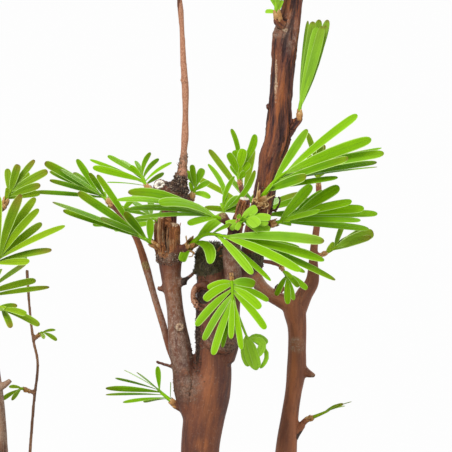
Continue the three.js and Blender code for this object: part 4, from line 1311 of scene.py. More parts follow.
@dataclass(frozen=True)
class BudScales:
    """Papery scales in whorls round the foot of a shoot, over the gap between bud and shoot."""

    blade: Blade = Blade(
        places=(0, 0.3, 0.7, 1),
        shares=(0.7, 1, 0.8, 0.15),
        slender=(0.7, 1, 0.8, 0.15),
        section=((-1, -0.6), (-0.5, 0.2), (0.5, 0.2), (1, -0.6), (0, -0.3)),
        thickness=0.5,
    )
    whorls: Sequence[tuple[float, int, float]] = ((-1.9, 4, 1.5), (-1.0, 5, 1.6), (-0.4, 4, 1.6))

    def around(self, spray: Spray) -> Shape:
        """Returns the scales of one bud."""
        chance = random.Random(f"{spray.name} scales")
        heading = spray.route().heading(0)
        frames = Frames.of(np.array([[*spray.base, 1], [*(np.array(spray.base) + heading), 1]]))
        across, other = frames.across[0], frames.other[0]
        size = clamped(spray.bud, 0.55, 1.2)
        frill = spray.flare
        shapes = []
        for offset, count, length in self.whorls:
            for index in range(count):
                turn = (index + chance.uniform(-0.2, 0.2) + offset * 0.7) * math.tau / count
                out = across * math.cos(turn) + other * math.sin(turn)
                radius = (0.78 if offset < -0.5 else 0.6) * size
                root = np.array(spray.base) + heading * offset + out * radius
                flare = chance.uniform(-0.1, 0.28) * frill
                reach = length * chance.uniform(0.8, 1.2) * (0.8 + 0.2 * frill) * size
                tip = root + (heading + out * flare) * reach
                width, twist = chance.uniform(1.0, 1.35) * size, chance.uniform(-0.3, 0.3) * frill
                scale = self.blade.bent(root, tip, out * 0.2 * frill, width, out, chance.random(), twist)
                tone = scale.values["blade"][:, 1] * 0.6 + scale.values["blade"][:, 2] * 0.4
                shapes.append(Shape(scale.vertices, scale.faces, {"tone": tone}))
        return Shape.joined(shapes)

    def build(self, tree: Tree, sprays: Sequence[Spray], finish: Material) -> None:
        """Builds the scales of all buds of a tree."""
        shape = Shape.joined([self.around(spray) for spray in sprays if spray.foot is Foot.SCALY])
        finished(shape.build(f"{tree.value}_tree_bud_scales"), finish, sharp=50)


# Pot, screens and soil

DRAIN_OFFSET = 45
SCREEN_SIZE = 24
GRIT_SEED = 71
MOSS_SEED = 37


@dataclass(frozen=True)
class Plan:
    """The rounded rectangle that the pot and the soil share."""

    half_length: float = 115
    half_width: float = 78
    squareness: float = 4.5
    core: float = 60
    foot: float = 6
    floor: float = 5
    wall: float = 5
    lip: float = 3
    under: float = 32
    height: float = 40
    batter: float = 13
    steps: int = 96

    def wall_at(self, z: float) -> float:
        """Returns how far out the pot's wall is at a height."""
        rise = (z - self.foot) / (self.under - self.foot)
        return self.half_length - self.lip - self.batter * (1 - min(1, rise))

    def inside_at(self, z: float) -> float:
        """Returns how far out the inside of the wall is at a height."""
        return self.wall_at(z) - self.wall

    def squared(self, places: Array) -> Array:
        """Turns round sections into rounded rectangles of the pot's proportions."""
        narrower = self.half_length - self.half_width
        out = np.hypot(places[:, 0], places[:, 1])
        short = np.where(out > self.core, out - narrower, out * (self.core - narrower) / self.core)
        turn = np.arctan2(places[:, 1], places[:, 0])
        power = 2 / self.squareness

        def side(value: Array) -> Array:
            """Returns a signed power."""
            return np.sign(value) * np.where(np.abs(value) < 1e-4, 0, np.abs(value)) ** power

        return np.column_stack([out * side(np.cos(turn)), short * side(np.sin(turn)), places[:, 2]])

    def spun(self, name: str, profile: Sequence[tuple[float, float]]) -> Object:
        """Spins a profile [distance out, height] and squares it."""
        mesh = bpy.data.meshes.new(name)
        edges = [(index, index + 1) for index in range(len(profile) - 1)]
        mesh.from_pydata([(out, 0, z) for out, z in profile], edges, [])
        built, steps = placed(name, mesh), self.steps
        modified(built, "SCREW", axis="Z", steps=steps, render_steps=steps, use_merge_vertices=True)
        clean(built, 0.01)
        write_vertices(built, self.squared(read_vertices(built)))
        return built


@dataclass(frozen=True)
class Pot:
    """An unglazed stoneware tray with a lip, four feet and two drain holes."""

    plan: Plan = Plan()
    foot_size: Point = (30, 14, 7)
    foot_inset: tuple[float, float] = (74, 43)
    drain_radius: float = 8

    def profile(self) -> list[tuple[float, float]]:
        """Returns the section of the wall with its rounded edges."""
        plan = self.plan
        corners = [
            (0, plan.foot, 0),
            (plan.wall_at(plan.foot), plan.foot, 2.4),
            (plan.half_length - plan.lip, plan.under, 0.5),
            (plan.half_length, plan.under + 0.4, 1.0),
            (plan.half_length, plan.height, 1.4),
            (plan.inside_at(plan.height), plan.height, 1.4),
            (plan.inside_at(plan.under), plan.under, 2),
            (plan.inside_at(plan.foot + plan.floor), plan.foot + plan.floor, 2.4),
            (0, plan.foot + plan.floor, 0),
        ]
        points = [np.array(corners[0][:2], dtype=float)]
        for before, (out, z, radius), after in zip(corners, corners[1:], corners[2:]):
            corner = np.array([out, z])
            arrive = corner + unit(np.array(before[:2]) - corner) * radius
            leave = corner + unit(np.array(after[:2]) - corner) * radius
            for share in (0, 0.25, 0.5, 0.75, 1):
                points.append(
                    (1 - share) ** 2 * arrive + 2 * share * (1 - share) * corner + share**2 * leave
                )
        points.append(np.array(corners[-1][:2], dtype=float))
        rows = [points[0]]
        for start, end in zip(points, points[1:]):
            steps = max(1, int(np.linalg.norm(end - start) / 6))
            rows += [start + (end - start) * (step + 1) / steps for step in range(steps)]
        return [tuple(row) for row in rows]

    def foot(self, x: float, y: float) -> Object:
        """Returns one low foot with rounded corners."""
        bpy.ops.mesh.primitive_cube_add(size=1, location=(0, 0, 0))
        foot = bpy.context.object
        foot.scale = self.foot_size
        bpy.ops.object.transform_apply(scale=True)
        modified(foot, "BEVEL", width=0.9, segments=3, limit_method="ANGLE")
        foot.location = (x, y, self.foot_size[2] / 2)
        only(foot)
        bpy.ops.object.transform_apply(location=True)
        return foot

    def build(self, finish: Material) -> None:
        """Fires the pot."""
        pot = self.plan.spun("pot_stoneware", self.profile())
        for x in (-1, 1):
            bpy.ops.mesh.primitive_cylinder_add(
                vertices=48, radius=self.drain_radius, depth=20, location=(x * DRAIN_OFFSET, 0, 8)
            )
            cut_away(pot, bpy.context.object)
        inset_x, inset_y = self.foot_inset
        only(pot, *(self.foot(x * inset_x, y * inset_y) for x in (-1, 1) for y in (-1, 1)))
        bpy.ops.object.join()
        finished(pot, finish, "pot", sharp=40)


@dataclass(frozen=True)
class Screen:
    """A square of plastic mesh over a drain hole."""

    side: int
    thickness: float = 0.8
    level: float = 11.35
    holes: int = 8

    def build(self, finish: Material) -> None:
        """Weaves the mesh: a grid whose inner faces are opened, then thickened."""
        node = f"drain_screen_{'left' if self.side < 0 else 'right'}"
        count = self.holes * 2 + 1
        bpy.ops.mesh.primitive_grid_add(x_subdivisions=count, y_subdivisions=count, size=SCREEN_SIZE)
        screen = bpy.context.object
        screen.name = f"{node}_mesh"
        mesh = bmesh.new()
        mesh.from_mesh(screen.data)
        cell = SCREEN_SIZE / count
        opened = [
            face
            for face in mesh.faces
            if all(int((value + SCREEN_SIZE / 2) / cell) % 2 for value in face.calc_center_median()[:2])
        ]
        bmesh.ops.delete(mesh, geom=opened, context="FACES")
        mesh.to_mesh(screen.data)
        mesh.free()
        modified(screen, "SOLIDIFY", thickness=self.thickness, offset=0)
        screen.location = (self.side * DRAIN_OFFSET, 0, self.level + self.thickness / 2)
        finished(screen, finish, node, sharp=30)


@dataclass(frozen=True)
class SoilBed:
    """Mounded soil with grit and moss round the trunks."""

    feet: Sequence[tuple[float, float]]
    plan: Plan = Plan()
    clearance: float = 0.35
    edge: float = 33
    crown: float = 5
    collar: float = 3.5
    collar_reach: float = 15
    rings: int = 44
    strewn_reach: tuple[float, float] = (105, 68)
    grains: int = 2200
    tufts: int = 5200
    tuft_distance: float = 15
    tuft_width: float = 0.34
    tuft_reach: tuple[float, float] = (100, 64)

    def ground(self, x: float, y: float) -> float:
        """Returns the height of the soil: higher in the middle and against each trunk."""
        out = math.hypot(x / self.plan.half_length, y / self.plan.half_width)
        collars = (
            self.collar * math.exp(-((math.hypot(x - foot_x, y - foot_y) / self.collar_reach) ** 2))
            for foot_x, foot_y in self.feet
        )
        return self.edge + self.crown * max(0, 1 - out**2) + max(collars)

    def surface(self, x: float, y: float) -> float:
        """Returns the height of the soil with its crumbs."""
        crumbs = noise.fractal(Vector((x * 0.16, y * 0.16, 5)), 0.7, 2.2, 4)
        return self.ground(x, y) + 0.55 * crumbs

    def bed(self, finish: Material) -> None:
        """Fills the pot."""
        bottom = self.plan.foot + self.plan.floor + self.clearance
        reach = self.plan.inside_at(self.plan.under) - self.clearance
        inside = self.plan.inside_at(bottom) - self.clearance
        profile = [(0, bottom), (inside, bottom), (reach, self.plan.under)]
        profile += [(reach * share / self.rings, self.edge) for share in range(self.rings, -1, -1)]
        bed = self.plan.spun("soil_bed", profile)
        places = read_vertices(bed)
        for place in places:
            if place[2] >= self.edge - 0.01:
                place[2] = self.surface(place[0], place[1])
        write_vertices(bed, places)
        for side in (-1, 1):
            bpy.ops.mesh.primitive_cube_add(size=1, location=(side * DRAIN_OFFSET, 0, bottom))
            pocket = bpy.context.object
            width = SCREEN_SIZE + 2 * self.clearance
            pocket.scale = (width, width, 3)
            cut_away(bed, pocket)
        finished(bed, finish, "soil", sharp=60)

    def strewn(self, chance: random.Random) -> Iterable[tuple[float, float]]:
        """Yields random places on the soil, without end."""
        length, width = self.strewn_reach
        power = self.plan.squareness
        while True:
            x = chance.uniform(-1, 1) * (length - 1)
            y = chance.uniform(-1, 1) * width
            if (abs(x) / length) ** power + (abs(y) / width) ** power < 1:
                yield x, y

    def grit(self, finishes: Sequence[Material]) -> None:
        """Strews stones of a few kinds over the soil."""
        bpy.ops.mesh.primitive_ico_sphere_add(subdivisions=1, radius=1)
        stone = bpy.context.object
        corners = read_vertices(stone)
        faces = [tuple(polygon.vertices) for polygon in stone.data.polygons]
        bpy.data.objects.remove(stone)
        chance = random.Random(GRIT_SEED)
        places = self.strewn(chance)
        diagonal = Vector((1, 1, 1)).normalized()
        forms = ((0.75, 1.2), (0.7, 1.1), (0.6, 0.95))
        for kind, finish in enumerate(finishes):
            shapes = []
            for _ in range(self.grains // len(finishes)):
                x, y = next(places)
                size = chance.uniform(0.5, 1.15) * (1.25 if chance.random() < 0.12 else 1)
                turn = Matrix.Rotation(chance.uniform(0, math.tau), 3, diagonal)
                turn = turn @ Matrix.Rotation(chance.uniform(0, math.tau), 3, "Z")
                form = np.array([chance.uniform(*limits) for limits in forms])
                uneven = np.array([[chance.uniform(0.85, 1.12)] for _ in corners])
                turned = (corners * uneven * form * size) @ np.array(turn)
                shapes.append(Shape(turned + [x, y, self.surface(x, y) + size * 0.25], faces))
            grit = Shape.joined(shapes).build(f"grit_{kind + 1}")
            finished(grit, finish, sharp=20)

    def moss(self, finish: Material) -> None:
        """Grows short moss in patches round the trunks."""
        chance = random.Random(MOSS_SEED)
        corners = np.array([[math.cos(turn), math.sin(turn), 0] for turn in (0, 2.1, 4.2)] + [[0, 0, 1]])
        faces = [(0, 2, 1), (0, 1, 3), (1, 2, 3), (2, 0, 3)]
        shapes = []
        while len(shapes) < self.tufts:
            foot_x, foot_y = chance.choice(self.feet)
            turn, away = chance.uniform(0, math.tau), abs(chance.gauss(0, self.tuft_distance)) + 5
            x, y = foot_x + math.cos(turn) * away, foot_y + math.sin(turn) * away * 0.8
            bare = noise.noise(Vector((x * 0.09, y * 0.09, 2))) < -0.05
            if bare or abs(x) > self.tuft_reach[0] or abs(y) > self.tuft_reach[1]:
                continue
            size = np.array([self.tuft_width, self.tuft_width, chance.uniform(1.1, 2.2)])
            lean = np.array([[0, 0, 0]] * 3 + [[chance.gauss(0, 0.6), chance.gauss(0, 0.6), 0]])
            shapes.append(Shape(corners * size + lean + [x, y, self.surface(x, y) - 0.2], faces))
        moss = Shape.joined(shapes).build("moss")
        finished(moss, finish, sharp=60)


# Studio


@dataclass(frozen=True)
class Studio:
    """A pale floor, soft lights and the camera of the photo."""

    white: Color = (0.985, 0.985, 0.985)
    floor_size: float = 1.7
    floor_level: float = -0.0002
    ambient: float = 0.62
    middle: Point = (0.01, 0, 0.17)
    eye: Point = (0.00936, -0.6, 0.16876)
    lens: float = 183.8
    sensor: float = 36

    def light(self, name: str, place: Point, size: float, power: float) -> None:
        """Hangs a square soft light that looks at the trees."""
        lamp = bpy.data.lights.new(name, "AREA")
        lamp.size, lamp.energy = size, power
        hung = placed(name, lamp)
        hung.location = place
        aim = Vector(self.middle) - Vector(place)
        hung.rotation_euler = aim.to_track_quat("-Z", "Y").to_euler()

    def build(self, finish: Material) -> None:
        """Sets up the floor, the world, the lights and the camera."""
        bpy.ops.mesh.primitive_plane_add(size=self.floor_size, location=(0, 0, self.floor_level))
        floor = bpy.context.object
        floor.name = "floor"
        floor.data.materials.append(finish)
        floor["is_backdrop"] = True
        world = bpy.data.worlds.new("studio")
        world.use_nodes = True
        graph, background = Graph(world.node_tree), world.node_tree.nodes["Background"].inputs
        seen = graph.add("ShaderNodeLightPath").outputs["Is Camera Ray"]
        graph.feed(background["Color"], self.white)
        graph.feed(background["Strength"], graph.line(seen, 1 - self.ambient, self.ambient))
        bpy.context.scene.world = world
        self.light("key", (-0.4, -0.6, 0.8), 0.5, 7)
        self.light("fill", (0.7, -0.5, 0.35), 0.8, 1.2)
        self.light("rim", (0.3, 0.7, 0.7), 0.6, 5)
        lens = bpy.data.cameras.new("camera")
        lens.lens, lens.sensor_width = self.lens, self.sensor
        lens.clip_start, lens.clip_end = 0.05, 30
        camera = placed("camera", lens)
        camera.location = self.eye
        camera.rotation_euler = (math.pi / 2, 0, 0)
        bpy.context.scene.camera = camera
        bpy.context.scene.view_settings.view_transform = "Standard"


# The trees: what the photo shows, then what it can't show

SEEN_SPRAYS = [
    Spray("spray_left_upper", (-6, -0.5, 162.5), (-9.6, -3, 164.2), TO_SKY,
        [(-2.4, -1.2, 1.6), (-4.8, -2, 3.2)],
        [(0.9, -19.1, -6, 13.3, 2.4), (0.7, -25.5, -8, 10.7, 2.2), (0.5, -23.1, -4, 8.6, 2),
         (1, -14.3, -3, 17.9, 1.7), (0.35, -7.2, -6, 8.1, 2.6), (0.15, -0.6, -2, 6.5, 2),
         (0.8, -13, -10, 6.5, 2.2)], tone=0.45, young=3, turned=0.25),
    Spray("spray_left_tip", (-20, 8, 173.6), (-21.4, 8.4, 175.2), TO_SKY, [(-1.8, 0.6, 1.4), (-3.8, 1, 2.4)],
        [(1, -17.2, 0, 10.4, 2.4), (0.8, -16.2, 4, 8.1, 1.8), (0.6, -15.7, -3, 5.6, 1.9),
         (0.4, -20, 2, 2.6, 1.5), (0.9, -8.8, 2, 11.4, 2), (0.3, -5.2, -3, 7.6, 1.5),
         (0.7, -10, 8, 8, 1.9), (0.5, -12.6, -6, 8.4, 1.8)], tone=0.38),
    Spray("spray_stump_back", (-7, 3, 176.5), (-11.2, 6.6, 178.8), HALF_UP, [(-1, 1, 1.6), (-1.6, 1.8, 3.4)],
        [(0.9, -10.8, 2, 8.6, 2.4), (1, -7.4, 5, 7.6, 1.9), (0.7, -4.9, 2.5, 5.9, 1.8),
         (1, -3.4, 6, 7.4, 1.7), (1, 0.6, 7, 9.6, 1.4, -1.4, 0.4), (0.8, 2.8, 8, 7.9, 1.4, -1.2, 0.6),
         (0.5, 6.2, 8.5, 7, 1.3, -0.8, 0.8), (0.3, 4.2, 6.4, 3.9, 1.6), (0.6, -14.6, -1, 5.4, 2),
         (0.4, -15.6, 4, 7.6, 1.3), (0.2, -10.7, -3, 1.4, 1.5), (0.15, -6.4, -0.5, -5.6, 1.6)],
        tone=0.6, turned=0.9, slim=0.75),
    Spray("spray_front_left", (10.8, -8, 168), (8.2, -11.6, 170.6), TO_SKY,
        [(-2.2, -1.4, 0.6), (-4.4, -2.4, 1)],
        [(1, -23.4, -13, 6.5, 2.9, 0, 4), (0.9, -26.5, -8, 4.7, 2.7, 0, 3.4),
         (0.75, -23.7, -5, 2.4, 2.6, 0, 2.4), (0.6, -21.8, -9, 0.1, 1.8, 0, 1.6),
         (0.5, -15.6, -16, 3.8, 2.9, 0, 3.4), (0.35, -14.5, -1.5, 4.4, 2.2, 0, 2.6),
         (0.2, -8.6, -8.5, -1.4, 2, 0, 1)], foot=Foot.SMOOTH, tone=0.6),
    Spray("spray_stump_right", (-3, 1.4, 176), (0.4, 3.2, 176.6), TO_VIEWER,
        [(0.7, 0.6, 1.3), (1.1, 1, 2.8)],
        [(0.8, 0, 0.6, 8.4, 1.6), (1, 3, 1.6, 7.4, 2.1), (0.6, 4.8, 0, 3.8, 1.6),
         (0.2, 5, -1.6, -0.6, 1.7, 0, 1.4), (0.9, -1.6, 3.4, 7, 1.7)]),
    Spray("spray_middle", (11.2, -6.5, 168.6), (8.8, -3.2, 172.4), TO_VIEWER,
        [(-0.2, 0.5, 1.6), (0, 1, 3.2)],
        [(0.2, -4.2, 6.2, 12.7, 1.4, 4, -0.4), (0.3, 2.8, 0.2, 9.4, 1.3, -1.8, -0.4),
         (0.1, 8.1, -3.8, 10.8, 1.6, 2.2, -1.6), (0.05, 4.7, -0.8, 3.7, 2.6, -0.4, 1),
         (0, 3.7, 0.6, 1.6, 1.9, 0, 0.2)], bud=0.6, foot=Foot.SMOOTH, tone=0.45, young=3, slim=0.9),
    Spray("spray_behind_leader", (15.5, 2.5, 172), (13, 9.6, 180.4), TO_VIEWER,
        [(-0.4, 0.8, 1.8), (-0.4, 1.4, 3.8)],
        [(1, -2.3, 2.4, 14.3, 1.4, 1.7, 0.3), (0.6, -3.2, 0.4, 7.8, 2.1, 0.6, 0.2),
         (0.9, -1, 1.4, 8.7, 2.5), (0.8, 1.1, 0, 8.9, 2.7), (1, 4.1, 3.4, 12.9, 2.1, 2.1, 0.3),
         (0.5, 2.6, 1, 5.3, 2.3, 0.4, 0.4), (0.3, -2.2, 4.4, 4.8, 2), (0.2, 1.6, -0.6, 2.6, 1.8)],
        bud=0.7, tone=0.8, turned=0.2),
    Spray("spray_upright_tuft", (26.6, 0, 194.2), (28.5, 0, 198), TO_VIEWER, [(0.1, 0, 2), (0.5, 0, 4.4)],
        [(1, 7.4, 0.4, 24.6, 2.3, 0.6, 0), (0.8, 5.3, 2, 24.8, 2.4, 0.4, 0),
         (0.7, 3.5, -1.4, 24, 2.4, 0.2, 0), (0.5, 2.2, 1, 24.4, 1.4, -0.3, 0),
         (0.6, 5.8, -3, 22.6, 2.4, 0.6, 0), (0.3, 4.4, -2.4, 22.4, 2.4, 0.2, 0),
         (0.4, 6.8, -1, 23, 2, 1, 0)], tone=0.42, young=0, slim=0, flare=0.3, pale=True),
    Spray("spray_right_high", (17.6, -0.2, 174), (18.3, -4.2, 175.6), TO_SKY,
        [(2, -1, 2.8), (4.6, -1.6, 5.6), (7.4, -1.8, 7.6)],
        [(0.55, 12.1, -2, 18.2, 2.5), (1, 24.9, -4, 21.8, 3, 0, 1), (1, 19.1, 1, 17.8, 2),
         (0.9, 28.3, -7, 15.4, 3, 0, 1), (0.8, 31.5, 1, 13.4, 1.9, 0, 1),
         (0.95, 31.7, -5, 11.8, 3, 0, 1.2), (0.7, 30.1, -1.5, 9.6, 2.5, 0, 0.8),
         (0.6, 29.7, -9, 8.2, 1.9, 0, 0.8), (0.5, 22.3, -9.4, 10.4, 2.9, 0, 0.8),
         (0.3, 11.7, -7.6, 5.8, 2.9), (0.4, 11.1, 0.6, 7.4, 2.2), (0.35, 19.9, -5, 5.6, 1.9)],
        bud=1.3, tone=0.5, turned=0.3, slim=0.3, flare=2.6),
    Spray("spray_right_low", (16.6, 1, 168), (21.6, 2, 169.4), TO_SKY,
        [(2.2, -0.2, 0.6), (4.6, -0.4, 1.8), (6.8, -0.6, 2.8)],
        [(0.3, 10.2, -0.4, 10.2, 3), (0.8, 13.4, 3, 8.7, 2), (1, 17.4, -2.4, 9.6, 3.1),
         (0.9, 20.5, -5, 5.7, 2.9), (1, 23.9, -1.4, 3.9, 2.6), (0.8, 27.6, 2, 2.6, 2.6),
         (0.4, 12, -7.4, 3.2, 2.9), (0.6, 19.5, 5.4, 4.6, 2.1), (0.5, 22.9, -3, 0.8, 2.3),
         (0.35, 25.3, 3.4, -1.4, 2.5)], tone=0.9, young=2, slim=0.25, flare=1.4),
    Spray("spray_front_small", (11.6, -8.4, 168), (12.8, -12, 169.6), TO_SKY,
        [(0.8, -1.2, 0.6), (1.8, -2.6, 1)],
        [(0.4, 4.6, -1.4, 4, 2.9, 0, 0.5), (0.9, 8.1, -2.6, 1.1, 2.5, 0, 1), (1, 4.7, -6.6, -1, 3, 0, 1.4),
         (0.8, 7.3, -4, -0.5, 2.7), (0.8, 7.8, -3.4, -2.1, 2.5), (0.7, 6, -4.6, -2.9, 2.6, 0, 0.8),
         (0.1, -3.7, -1, -0.2, 1.3, 0, 0.6), (0.2, -2.4, -2, -1.9, 1.3), (0.3, -0.9, -2.4, -2, 1.3),
         (0.1, -0.4, -1, 2.2, 1.2)], tone=0.95, young=5, slim=0, flare=1.6, pale=True),
    Spray("spray_front_right", (-3, -1.4, 162), (0.2, -5.4, 163.8), TO_SKY,
        [(3.2, -4, 2.6), (6.8, -7.4, 2.8), (9.8, -9.8, 2)],
        [(1, 33.9, -17, 1.1, 2.8, 0, 1.6), (0.85, 23.7, -8.6, -2, 2), (0.9, 27.9, -10.6, -0.5, 1.9),
         (1, 27.9, -19.5, -6.4, 3, 0, 1.6), (0.95, 29.2, -13.6, -6.8, 1.9, 0, 1),
         (0.9, 34.1, -13, -3.8, 2.6, 0, 1.6), (0.7, 31.7, -7.6, -2.2, 1.5, 0, 1),
         (0.8, 37, -10.6, -8.8, 2.2, 0, 2.4), (0.75, 15.9, -16, -7.2, 2.2, 0, 1),
         (0.65, 20.6, -12, -9, 1.5, 0, 1.4), (0.1, 5.2, -6.6, -4.8, 3, 3.2, 3),
         (0.2, 9.4, -1.8, 8.2, 2.8, 0, 1), (0.6, 10.4, -10.6, 5.4, 2),
         (0.05, -2.4, 1.6, -4.4, 2.6, -0.6, 0.8)], bud=1.3, tone=0.62, turned=0.25, slim=0.3, flare=3),
    Spray("spray_hanging_fan", (11.2, -8, 156.6), (10.8, -11.4, 155), TO_VIEWER,
        [(0.2, -1.2, -2.6), (0.2, -2.2, -5.2)],
        [(0.1, -6.3, -1, -2.2, 1.7, 0, 1), (0.25, -7.1, -2.4, -5.2, 2.2, -0.6, 1.2),
         (0.5, -9.2, -3.4, -11.7, 2.1, -0.8, 0.8), (0.75, -7.2, -4.6, -15.3, 2.1, -0.6, 0.6),
         (1, -4.8, -5.2, -19, 2, -0.4, 0.3), (0.8, -2.4, -2.2, -17.3, 1.4), (0.95, -0.2, -5.4, -14.9, 1.6),
         (0.7, 1.2, -3.6, -13.8, 1.5), (1, 2.5, -4.8, -17.7, 1.7, 0.3, 0.3),
         (0.6, 8.7, -4.2, -12.5, 2, 0.8, 0.6), (0.4, 7.4, -3, -7.3, 2.3, 0.8, 0.8),
         (0.3, 9.5, -1.8, -5.4, 1.7, 0.8, 1), (0.15, 6.1, -1.4, -1.2, 2.5, 0, 0.9)],
        bud=0.55, tone=0.72, young=0, slim=0.05, flare=0.8),
    Spray("spray_curled", (11.6, -8.8, 148.2), (14.4, -5.4, 141), (-0.2, -1, 0.3),
        [(0.4, -0.2, -0.9), (0.9, -0.4, -1.6)],
        [(0.35, 3.2, -2.6, -9, 2.5, 0.6, 0.4), (0.9, 5.4, -0.4, -2.9, 2.7, 0.4, 1.8),
         (0.8, 3.8, -1.2, -9, 1.2, 6.2, 0.8), (0.3, 0.9, 0.4, -8.6, 2.2, -1.8, 0.2),
         (0.9, 2.8, -2, -5.9, 2.2, 5, 2.4), (0.4, 3.4, -1, -9.1, 2, -2.2, -2)],
        foot=Foot.GREEN, tone=0.9, young=0, turned=0.2, slim=0, pale=True),
    Spray("spray_trunk_left", (0, 0, 120.6), (-4.4, 0.6, 122.8), TO_SKY,
        [(-2.2, 0.4, 1.8), (-4.4, 0.8, 3.8)],
        [(0.8, -17.7, -1, 3.8, 1.7), (0.6, -17.9, 3.4, 1.8, 1.6), (1, -13, 2, 8.4, 2),
         (0.9, -4.1, 0.8, 9.6, 1.5), (0.2, -0.6, -1.4, 5.6, 1.7), (0.95, -15.5, 5.6, 6, 1.5),
         (0.7, -9.5, -3.4, 8.2, 1.5), (0.4, -13, -5, 0.4, 1.6), (0.3, -8, 4, -0.2, 1.6)],
        turned=1.0, slim=0.8),
    Spray("spray_right_hanging", (17.4, 2.6, 160), (24.2, 7.6, 157.4), TO_VIEWER,
        [(0.8, 0.5, -1.2), (1.4, 1, -2.6)],
        [(1, 1.4, 0, -9.4, 1.9), (0.7, 3.2, 2.2, -8.4, 1.8), (0.5, 6.8, 2, -5.4, 1.8),
         (0.3, 4.4, -1.4, -4.8, 1.5), (0.8, -1.8, 1, -7.2, 1.6)], bud=0.6, tone=0.65),
    Spray("spray_leader_left", (25, 0, 220.6), (22.6, -3.2, 223.4), TO_VIEWER,
        [(-0.3, -0.4, 1.8), (-0.4, -0.8, 3.6)],
        [(1, -1.8, -1.4, 14, 2.2), (0.7, 0.6, -2.6, 16, 2.2), (0.8, 2.2, -0.8, 14.8, 2),
         (0.5, -4.2, -1, 11, 1.9), (0.4, 1.4, -4.6, 11.6, 2)], bud=1.25, young=2, slim=0.1, pale=True),
    Spray("spray_right_tree_top", (34.6, 28, 177), (34.5, 28, 181.2), HALF_UP,
        [(-0.1, 0, 2), (-0.1, 0, 4.4)],
        [(1, -3, 1.6, 13.2, 1.7), (0.9, 1.6, 1.4, 10, 1.8), (0.4, -3.4, -2, 7.8, 2),
         (0.6, 3.8, 0.6, 8, 1.8), (0.8, 0.6, -2.6, 11, 1.9), (0.3, -4, 2.6, 5.6, 1.6),
         (0.2, 4, -1.2, 4.2, 1.6)], tree=Tree.RIGHT, bud=0.8),
    Spray("spray_right_tree_side", (33.2, 28, 160.4), (36.4, 27.4, 161.4), TO_SKY,
        [(1.6, -0.4, 0.8), (3.4, -0.8, 2)],
        [(1, 13.2, -1, 5.6, 3.4, 0, 0.6), (0.8, 5, 1.8, 8.2, 1.5), (0.9, 12, 1, 6.8, 3.2, 0, 0.2),
         (0.6, 12.4, -2, 4.4, 2.6, 0, 0.6), (0.5, 8.4, 2.6, 4.4, 2.6)],
        tree=Tree.RIGHT, bud=0.7, tone=0.3, slim=0.2),
    Spray("spray_right_tree_low", (28.2, 28, 113), (32.6, 27.6, 116.6), TO_SKY,
        [(2.4, -0.4, 1), (5, -0.8, 2.2)],
        [(1, 11, -1.6, 4.6, 1.4), (0.9, 8.8, -2, 4, 1.3), (0.8, 9.4, 1, 3.2, 1.2),
         (0.7, 7.4, -1.6, 3.8, 1.2)], tree=Tree.RIGHT, bud=0.8, young=0, turned=0.9, slim=1),
    Spray("spray_left_tree_front", (-55.4, 4.6, 155), (-51.6, -1.4, 158.4), TO_SKY,
        [(1.4, -2, 1), (2.8, -3.4, 2.4)],
        [(1, 8.6, -8, 18.6, 2.7, -1, 1), (0.9, 12, -4.6, 17.8, 2.3, -1, 1),
         (0.8, 13.2, -8, 14.8, 2.2, -1, 1), (0.7, 13.6, -3, 11.2, 2.2, 0, 1),
         (0.9, 20, -9, 10.4, 2.5, 0, 1.4), (0.6, 2.4, -5, 18.4, 2.5), (0.5, 16.4, -6.4, 4.2, 2.2, 0, 1),
         (0.4, 11, -11, 1.2, 2.2), (0.3, 9.6, -0.6, 2.2, 2), (0.75, 3, -13, 10, 2.2)],
        tree=Tree.LEFT, tone=0.55),
    Spray("spray_left_tree_drooping", (-54.8, 5.2, 147), (-51.2, 0.4, 147.6), TO_SKY,
        [(1.6, -1.8, -0.2), (3.2, -3.4, -0.8)],
        [(1, 12.6, -5, -4.6, 2, 0, 1.4), (0.8, 9.4, -8.4, -1.6, 1.9, 0, 1),
         (0.6, 9.8, -1.4, -3.2, 1.8, 0, 1), (0.4, 3, -8.6, -0.6, 1.8), (0.3, 6.4, 0.6, 0.4, 1.7),
         (0.9, 5.6, -10, -5, 1.8, 0, 1.2)], tree=Tree.LEFT),
    Spray("spray_left_tree_high", (-57.6, 3.8, 171), (-48.2, 2.4, 175), HALF_UP,
        [(0.8, -0.2, 1.6), (1.6, -0.4, 3.4)],
        [(0.8, 3.5, -1, 10, 2.2), (1, 7.6, 1.4, 11.2, 1.7), (0.9, 11.2, -0.4, 8.2, 2.2),
         (0.6, 5.8, 4, 8, 2), (0.5, 9.6, -4, 4.4, 2.2), (0.7, 0.2, 3, 9, 1.9), (0.3, 9, 3, 2.4, 1.9)],
        tree=Tree.LEFT),
    Spray("spray_whip_upper", (-42.6, 22, 138.2), (-40.8, 21, 139.6), TO_SKY,
        [(0.6, -0.6, 0.5), (1.2, -1.2, 0.6)],
        [(1, 5, -2.6, -1.6, 1.2), (0.6, 1.6, -5.6, -1, 1.2), (0.5, 4.4, 1, 1.2, 1.1)],
        tree=Tree.LEFT, bud=0.6, young=0, slim=1),
    Spray("spray_whip_lower", (-42.6, 21.6, 124), (-44.8, 20.6, 124.8), TO_SKY,
        [(-0.7, -0.5, 0.3), (-1.6, -1, 0)],
        [(1, -6.4, -2, -3, 1.3), (0.6, -3, -5.6, -2.6, 1.2), (0.4, -4.6, 2.4, 0.6, 1.1)],
        tree=Tree.LEFT, bud=0.6, young=0, slim=1),
]

